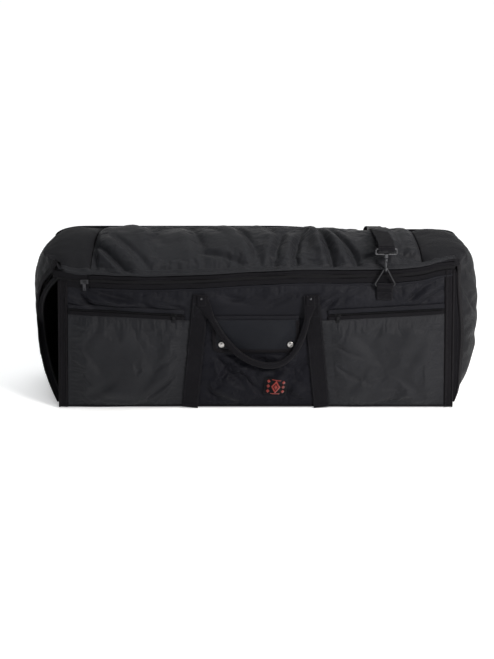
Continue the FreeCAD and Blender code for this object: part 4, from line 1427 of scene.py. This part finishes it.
def zip_strip(name, low_x, high_x, low, high, body):
    """Half of the top zip's tape, lying in the front plane."""
    line = zip_run_points(low_x, high_x, (low + high) / 2)
    wave = [0.0006 * noise.noise(Vector((p.x * 11, 0, low * 90))) for p in line]
    points = [Vector((p.x, FRONT - ZIP_OUT - 0.0006 + w, p.z)) for p, w in zip(line, wave)]
    strip = sweep(f"{name}_tape_top", points, FORWARD, flat_section(high - low, 0.0013, 3, 0.0002),
                  ZIP_TAPE)
    belong(strip, body, "zip_tape", f"{name}_zip_tape")


zip_strip("door", ZIP_START - 0.004, ZIP_END, -TAPE, -0.0022, "door")
zip_strip("tub", ZIP_START - 0.006, ZIP_END + 0.004, 0.0022, TAPE + 0.002, "root")
for body, offset in (("door", -TAPE + 0.002), ("root", TAPE - 0.0015)):
    line = zip_run_points(ZIP_START, ZIP_END - 0.004, offset, 0.004)
    points = [Vector((p.x, FRONT - ZIP_OUT - 0.0016, p.z)) for p in line]
    sew(body, points, FORWARD)


def zip_cord(name, offset, radius, out, body, material, slot="zip_tape"):
    """A narrow roll along the top zip, or a near-black strip of painted shadow on it."""
    line = zip_run_points(ZIP_START - 0.004, ZIP_END, offset, 0.004)
    points = []
    for p in line:
        wander = 0.0006 * noise.noise(Vector((p.x * 23, offset * 300, 2.0)))
        points.append(Vector((p.x, FRONT - out, p.z + wander)))
    cord = sweep(name, points, FORWARD,
                 round_section(radius, radius * 0.8, 10), material)
    belong(cord, body, slot)


zip_cord("door_zip_lip", -TAPE - 0.0022, 0.0026, 0.0010, "door", NYLON_DARK, "nylon")
# the next four are near-black strips of painted shadow along the tapes' edges and beside the coil
zip_cord("door_zip_shadow_strip", -TAPE + 0.0010, 0.0011, 0.0012, "door", SHADOW_STRIP_CLOTH)
zip_cord("tub_zip_shadow_strip", TAPE - 0.0034, 0.0011, 0.0012, "root", SHADOW_STRIP_CLOTH)
zip_cord("door_coil_shadow_strip", -0.0042, 0.0010, 0.0010, "door", SHADOW_STRIP_CLOTH)
zip_cord("tub_coil_shadow_strip", 0.0042, 0.0010, 0.0010, "root", SHADOW_STRIP_CLOTH)
zip_cord("door_coil_rail", -0.0064, 0.0012, 0.0014, "door", WEBBING)
zip_cord("tub_coil_rail", 0.0064, 0.0012, 0.0014, "root", WEBBING)


def coil_half(name, points, outs, body, side, *cad_nodes):
    """One half of the main zip's coil."""
    belong(zip_teeth(name, points, outs, 0.0026, 0.0034, side), body, "zip_coil", *cad_nodes)


coil_line = [Vector((p.x, FRONT - ZIP_OUT - 0.0006, p.z))
             for p in zip_run_points(ZIP_START, ZIP_END, 0.0)]
shifted = [p + Vector((0.0013, 0, 0)) for p in coil_line]
coil_half("tub_coil_top", coil_line, FORWARD, "root", -1, "tub_zip_coil")
coil_half("door_coil_top", shifted, FORWARD, "door", 1, "door_zip_coil")

# coil down the door's sides, behind its bindings
for side, name in SIDES:
    line = resample([Vector((side * (edge_x(z) - 0.0002), FRONT + 0.0112, z))
                     for z in np.linspace(0.012, 0.300, 12)], 0.005)
    coil_half(f"door_coil_{name}", line, Vector((side, 0, 0)), "door", 1)


def rim_line(w_from, w_to, v, lift):
    """Points and outward directions along the tub's front rim, on the cloth's surface."""
    points, outs = [], []
    count = int((w_to - w_from) * 110)
    for k in range(count + 1):
        w = w_from + (w_to - w_from) * k / count
        out = hoop_normal(hoop_surface, w, v, 2e-3)
        points.append(hoop_surface(w, v) + out * lift)
        outs.append(out)
    line = resample(points, 0.005)
    spread = []
    for k in range(len(line)):
        at = k / (len(line) - 1) * (len(outs) - 1)
        low = int(min(at, len(outs) - 2))
        spread.append(outs[low].lerp(outs[low + 1], at - low).normalized())
    return line, spread


# the binding and piping along the tub's rim, with two rows of stitches
for name, w_from, w_to in (("left", 0.03, 0.985), ("top", 1.012, 1.995), ("right", 2.015, 2.97)):
    cloth = NYLON if name == "top" else BINDING_CLOTH
    points, outs = rim_line(w_from, w_to, 0.022, 0.0008)
    root_piece(sweep(f"{name}_rim_band", points, outs, flat_section(0.0125, 0.0024), cloth),
               "binding")
    points, outs = rim_line(w_from, w_to, 0.0, 0.0006)
    thick = 0.0032 if name == "top" else 0.0023
    root_piece(sweep(f"{name}_rim_piping", points, outs, round_section(thick, thick, 12), cloth),
               "binding")
    for v in (0.010, 0.034):
        sew("root", *rim_line(w_from, w_to, v, 0.0022))


def side_tape(side, name):
    """The zip tape between the tub's rim and the door's edge; on the left it hangs open."""
    def place(i, j):
        z = 0.006 + (0.342 - 0.006) * i
        edge = Vector((side * (edge_x(z) + 0.0008), RIM_Y - 0.0022, z))
        w = z / 0.3495 if side < 0 else 3 - z / 0.3495
        rim = hoop_surface(w, 0.0)
        rim = Vector((rim.x - side * 0.001, rim.y - 0.0006, z))
        if side < 0:
            edge = rim + Vector((0.0125 + 0.003 * math.sin(z * 19), -0.0035, 0.0))
        point = rim.lerp(edge, j)
        point.y += 0.0012 * math.sin(math.pi * j) + 0.0006 * noise.noise(Vector((z * 30, j, side)))
        return point

    tape = grid(f"tub_side_tape_{name}", 90, 6, place, ZIP_TAPE, lambda p: (p[2], p[0]),
                flip=side > 0)
    thicken(tape, 0.0012, offset=0.0)
    root_piece(tape, "zip_tape")
    run = [place(k / 60, 1.0) + Vector((0, -0.0008, 0)) for k in range(61)]
    coil_half(f"tub_coil_{name}", run, FORWARD, "root", side)
    seam = [place(k / 60, 0.30) + Vector((0, -0.0012, 0)) for k in range(61)]
    sew("root", seam, FORWARD)


for side, name in SIDES:
    side_tape(side, name)


def corner_fill(side, name):
    """The zip tape's last stretch, drawn up into the corner of the front."""
    start = ZIP_START + 0.006 if side < 0 else ZIP_END - 0.006
    section = flat_section(0.0165, 0.0016, 3, 0.0002)
    points = resample([Vector((x, FRONT - 0.0002 + 0.010 * smooth(0.452, 0.474, abs(x)),
                               zip_z(x) + (TAPE + 0.001) / 2))
                       for x in np.linspace(start, side * 0.4725, 14)], 0.005)
    root_piece(sweep(f"corner_tape_{name}", points, FORWARD, section, ZIP_TAPE), "zip_tape")
    xs = np.linspace(start, side * (edge_x(0.33) - 0.003), 14)
    section = flat_section(0.0160, 0.0016, 3, 0.0002)
    points = resample([Vector((x, FRONT - 0.0008, zip_z(x) - TAPE / 2 - 0.001)) for x in xs], 0.005)
    door_piece(sweep(f"door_corner_tape_{name}", points, FORWARD, section, ZIP_TAPE), "zip_tape")
    run = [Vector((x, FRONT - 0.0010, zip_z(x) - 0.0018)) for x in xs]
    coil_half(f"door_corner_coil_{name}", run, FORWARD, "door", side)


for side, name in SIDES:
    corner_fill(side, name)


# ------------------------------------------------------------------ the fold under the door
def hinge_point(i, j):
    """Cloth that runs from the door's foot under its foam to the base; it bends at the fold."""
    half = edge_x(0) - 0.004
    x = half * (2 * i - 1)
    y = FRONT - 0.0002 + (RIM_Y + 0.006 - FRONT) * j
    z = 0.0026 * (1 - smooth(0.0, 0.55, j)) + 0.0012 + 0.0004 * math.sin(x * 60)
    return Vector((x, y, z))


gusset = grid("front_fold", 90, 12, hinge_point, BINDING_CLOTH, lambda p: (p[0], p[1]))
thicken(gusset, 0.0012, offset=0.0)
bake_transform(gusset)
foot_line = resample([Vector((x, 0, 0.0062)) for x in np.linspace(-0.468, 0.468, 60)], 0.006)
foot_points = [on_door(p.x, p.z, 0.0014) for p in foot_line]
door_piece(sweep("front_foot_piping", foot_points, FORWARD, round_section(0.0026, 0.0026, 12),
                 BINDING_CLOTH), "binding")


# ------------------------------------------------------------------ piping at the rear
points = []
for w in np.linspace(0.02, 2.98, 150):
    spot = hoop_point(w, 1.0)
    rise = 0.0024 * smooth(0.9, 1.1, w) * smooth(2.1, 1.9, w)
    points.append(Vector((spot.x * 1.0015, REAR + 0.0012, spot.z + rise)))
root_piece(sweep("rear_edge_piping", resample(points, 0.006), Vector((0, 1, 0.4)).normalized(),
                 round_section(0.0034, 0.0034, 12), BINDING_CLOTH), "binding", "rear_piping")
# a seam beside each end of the top cloth
for side in (-1, 1):
    seam = []
    for v in np.linspace(0.02, 0.95, 60):
        spot = hoop_surface(seam_w(side, v, 0.004), v)
        seam.append(Vector((spot.x, spot.y, spot.z + 0.0006)))
    sew("root", seam, Vector((0, 0, 1)))


# ------------------------------------------------------------------ label
LABEL_DARK = cloth_material("label_dark", (0.0025, 0.0025, 0.003), (0.006, 0.006, 0.007),
                            roughness=0.6, sheen=0.05, pitch=(0.0008, 0.0008), weave=0.4)
LABEL_THREAD = cloth_material("label_thread", (0.150, 0.017, 0.013), (0.220, 0.030, 0.023),
                              roughness=0.5, use_uv=False, pitch=(0.0008, 0.0008))
LABEL_LONG, LABEL_SHORT, LABEL_TURN = 0.054, 0.042, math.radians(-6)


def on_label(u, v, lift):
    """A place on the label, from 0 to 1 along it and up it."""
    a, b = (u - 0.5) * LABEL_LONG, (v - 0.5) * LABEL_SHORT
    x = LABEL_X + a * math.cos(LABEL_TURN) - b * math.sin(LABEL_TURN)
    z = LABEL_Z + a * math.sin(LABEL_TURN) + b * math.cos(LABEL_TURN)
    corner = 0.0006 * (abs(u - 0.5) * 2) ** 6
    return on_door(x, z, 0.0086 + lift - corner)


def label_bar(u0, v0, u1, v1):
    """A strip of the pattern, in segments that follow the label."""
    spots = [on_label(u0 + (u1 - u0) * i / 8, v0 + (v1 - v0) * j / 2, LABEL_LIFT)
             for i in range(9) for j in range(3)]
    faces = [(a, a + 3, a + 4, a + 1) for i in range(8) for a in (i * 3, i * 3 + 1)]
    return spots, faces


def lozenge(u, v, wide, high, hole):
    """A four-cornered ring, all but filled where its hole is small."""
    corners = ((wide, 0), (0, high), (-wide, 0), (0, -high))
    around = []
    for (a0, b0), (a1, b1) in zip(corners, corners[1:] + corners[:1]):
        around += [(a0 + (a1 - a0) * k / 5, b0 + (b1 - b0) * k / 5) for k in range(5)]
    spots = [on_label(u + a * share, v + b * share, LABEL_LIFT)
             for share in (1.0, (1 + hole) / 2, hole) for a, b in around]
    count = len(around)
    faces = [(ring + k, ring + (k + 1) % count, ring + count + (k + 1) % count,
              ring + count + k) for ring in (0, count) for k in range(count)]
    return spots, faces


patch = grid("label_cloth", 24, 20, lambda i, j: on_label(i, j, 0.0), LABEL_DARK,
             lambda p: (p[0], p[2]))
thicken(patch, 0.0009)
subdivide(patch)
door_piece(patch, "label", "label_patch")
chunks = [lozenge(0.50, 0.50, 0.20, 0.40, 0.62), lozenge(0.50, 0.50, 0.075, 0.15, 0.02)]
chunks += [lozenge(u, v, 0.075, 0.11, 0.35 if v == 0.5 else 0.02)
           for u in (0.17, 0.83) for v in (0.20, 0.50, 0.80)]
chunks += [label_bar(0.30, v - 0.02, 0.70, v + 0.02) for v in (0.075, 0.925)]
motif = join_meshes("label_motif", chunks, LABEL_THREAD)
thicken(motif, 0.0004, offset=0.0)
door_piece(motif, "label")
rim = [on_label(u, v, 0.0008) for u, v in
       [(t, 0.03) for t in np.linspace(0.03, 0.97, 10)]
       + [(0.97, t) for t in np.linspace(0.03, 0.97, 8)]
       + [(t, 0.97) for t in np.linspace(0.97, 0.03, 10)]
       + [(0.03, t) for t in np.linspace(0.97, 0.03, 8)]]
sew("door", rim, FORWARD, 0.0030, 0.0021, 0.00032)


# ------------------------------------------------------------------ strap tabs
def tab_piece(cad_node, place_x, face, base_z, up, body):
    """Folded webbing: flat where it is sewn, then out and round the ring's base."""
    wall = FRONT if face < 0 else REAR
    profile = [(0.0030, -0.034), (0.0028, -0.020), (0.0032, -0.013), (0.0085, -0.006),
               (0.0145, -0.0035), (0.0166, 0.0), (0.0150, 0.0036), (0.0120, 0.0044),
               (0.0085, 0.0028), (0.0060, -0.001), (0.0028, -0.006)]
    base = door_out(place_x, base_z - 0.030) if face < 0 else 0.003
    line = [Vector((place_x, wall + face * (o + base * smooth(-0.002, -0.02, t)),
                    base_z + up * t)) for o, t in profile]
    line = resample(line, 0.0022)
    outs = [t.cross(Vector((1, 0, 0))).normalized() * (1 if up * face < 0 else -1)
            for t in path_frames(line)]
    strip = sweep(f"{cad_node}_webbing", line, outs, flat_section(0.037, STRIP, RIBS, 0.0003),
                  WEBBING)
    belong(strip, body, "webbing", cad_node)
    half, low, high = 0.015, -0.031, -0.016
    corners = [(-half, low), (half, low), (half, high), (-half, high), (-half, low), (half, high)]
    for (x0, t0), (x1, t1) in zip(corners, corners[1:]):
        spots = resample([Vector((place_x + x0, 0, t0)), Vector((place_x + x1, 0, t1))], 0.003)
        points = [Vector((p.x, wall + face * (0.0047 + base), base_z + up * p.z)) for p in spots]
        sew(body, points, Vector((0, face, 0)))


tab_piece("front_tab", ANCHOR, -1, 0.305, 1, "door")
tab_piece("rear_tab", -ANCHOR, 1, 0.255, -1, "root")


# ------------------------------------------------------------------ shoulder strap
EYE_Z = 0.393
STRAP_OVER = (
    # from the front eye over the top to the rear edge
    (0.298, -0.156, EYE_Z + 0.0045), (0.298, -0.147, EYE_Z + 0.009),
    (0.298, -0.128, EYE_Z + 0.013), (0.298, -0.080, EYE_Z + 0.014),
    (0.298, -0.030, EYE_Z + 0.012), (0.297, 0.030, EYE_Z + 0.008), (0.296, 0.090, EYE_Z),
    (0.295, 0.126, EYE_Z - 0.007), (0.294, 0.150, EYE_Z - 0.022), (0.293, 0.160, EYE_Z - 0.050),
)
STRAP_HANG = (
    # down the rear and up again to the rear eye
    (0.290, 0.163, 0.300), (0.283, 0.166, 0.235), (0.264, 0.166, 0.160),
    (0.225, 0.166, 0.098), (0.158, 0.166, 0.056), (0.072, 0.166, 0.038),
    (-0.020, 0.166, 0.033), (-0.110, 0.166, 0.040), (-0.190, 0.166, 0.058),
    (-0.252, 0.165, 0.088), (-0.288, 0.161, 0.122), (-0.298, 0.156, 0.1625),
)


def strap_line():
    """The strap's middle and the way it faces, which turns as it drops behind the rear edge."""
    line = resample(STRAP_OVER + STRAP_HANG, 0.004)
    tangents = path_frames(line)
    share = [0.0]
    for a, b in zip(line, line[1:]):
        share.append(share[-1] + (b - a).length)
    share = [s / share[-1] for s in share]

    def share_at(spot):
        return share[min(range(len(line)), key=lambda k: (line[k] - Vector(spot)).length)]

    turn_from, turn_to = share_at(STRAP_OVER[-1]), share_at(STRAP_HANG[3])
    back_from = share_at(STRAP_HANG[-4])
    outs = []
    for here, tangent in zip(share, tangents):
        turn = smooth(turn_from, turn_to, here) - smooth(back_from, 1.0, here)
        angle = math.pi / 2 * turn
        across = Vector((math.cos(angle), math.sin(angle), 0))
        across = (across - tangent * across.dot(tangent)).normalized()
        outs.append(tangent.cross(across).normalized())
    if outs[30].z < 0:
        outs = [-o for o in outs]
    return line, outs, tangents


strap_points, strap_outs, strap_tangents = strap_line()
strap = sweep("strap_band", strap_points, strap_outs, flat_section(WEB, STRAP, RIBS, 0.00035),
              WEBBING)
root_piece(strap, "webbing", "strap_webbing")
for offset in WEB_SEAMS:
    sew("root", [p + o.cross(t).normalized() * offset + o * 0.0015
                 for p, o, t in zip(strap_points, strap_outs, strap_tangents)], strap_outs)


def strap_loop(name, eye, up):
    """The strap's end passes round the eye's bar and is sewn back on itself."""
    x, y, z = eye
    ring = []
    for k in range(15):
        angle = math.radians(-70 + 320 * k / 14)
        ring.append(Vector((x, y + 0.0042 * math.cos(angle), z - up * 0.0042 * math.sin(angle))))
    outs = [Vector((0, p.y - y, p.z - z)).normalized() for p in ring]
    root_piece(sweep(name, ring, outs, flat_section(WEB, STRAP, RIBS, 0.0003), WEBBING), "webbing")


strap_loop("strap_loop_front", (0.298, -0.156, EYE_Z), 1)
strap_loop("strap_loop_rear", (-0.298, 0.156, 0.167), -1)
# the ends, doubled where they are sewn back, with two rows of stitches across each
for k_from, k_to in ((4, 16), (len(strap_points) - 16, len(strap_points) - 5)):
    stretch, outs = strap_points[k_from:k_to], strap_outs[k_from:k_to]
    tangents = strap_tangents[k_from:k_to]
    lifted = [p - o * 0.0026 for p, o in zip(stretch, outs)]
    fold_back = sweep(f"strap_sewn_end_{k_from}", lifted, outs,
                      flat_section(WEB * 0.98, STRAP, RIBS, 0.0003), WEBBING)
    root_piece(fold_back, "webbing")
    for row in (1, -2):
        across = outs[row].cross(tangents[row]).normalized()
        cross_line = [stretch[row] + across * a + outs[row] * 0.0016
                      for a in np.linspace(-0.016, 0.016, 9)]
        sew("root", cross_line, outs[row])


# ------------------------------------------------------------------ rivets at the handles
RIVET = ((0.0020, -0.0004), (0.0027, 0.0000), (0.0028, 0.0005), (0.0024, 0.0011),
         (0.0013, 0.0015), (0.0002, 0.0016))
for side, name in SIDES:
    centre = [(side * 0.1265, z) for z in np.linspace(0.256, 0.2805, 6)]
    door_piece(band_on_door(f"{name}_handle_root", centre, 0.0210, 0.0030, 0.0050, WEBBING, 6,
                            0.003), "webbing")
rivets = [turned(on_door(side * RIVET_X, RIVET_Z, 0.0081), RIVET) for side in (-1, 1)]
door_piece(join_meshes("front_rivets", rivets, HOOK_METAL), "snap_metal", "front_handle_rivets")

# ------------------------------------------------------------------ threads, one piece per body
for body, threads in STITCHES.items():
    belong(join_meshes(f"stitches_{body}", threads, THREAD), body, "webbing")

# ------------------------------------------------------------------ hard CAD parts keep shape
FINISHES = {
    "zip_metal": ZIP_METAL, "ring_wire": DARK_METAL, "hook_metal": HOOK_METAL,
    "snap_metal": SNAP_METAL, "adjuster": PLASTIC,
}
for part in frame["record"]["subparts"]:
    finish = FINISHES.get(part["material_slot"])
    cad = frame["nodes"].get(part["node"])
    if finish and cad:
        small = part["node"].startswith(("left_pocket", "right_pocket"))
        cad.data.materials.clear()
        cad.data.materials.append(PULL_METAL if small else finish)
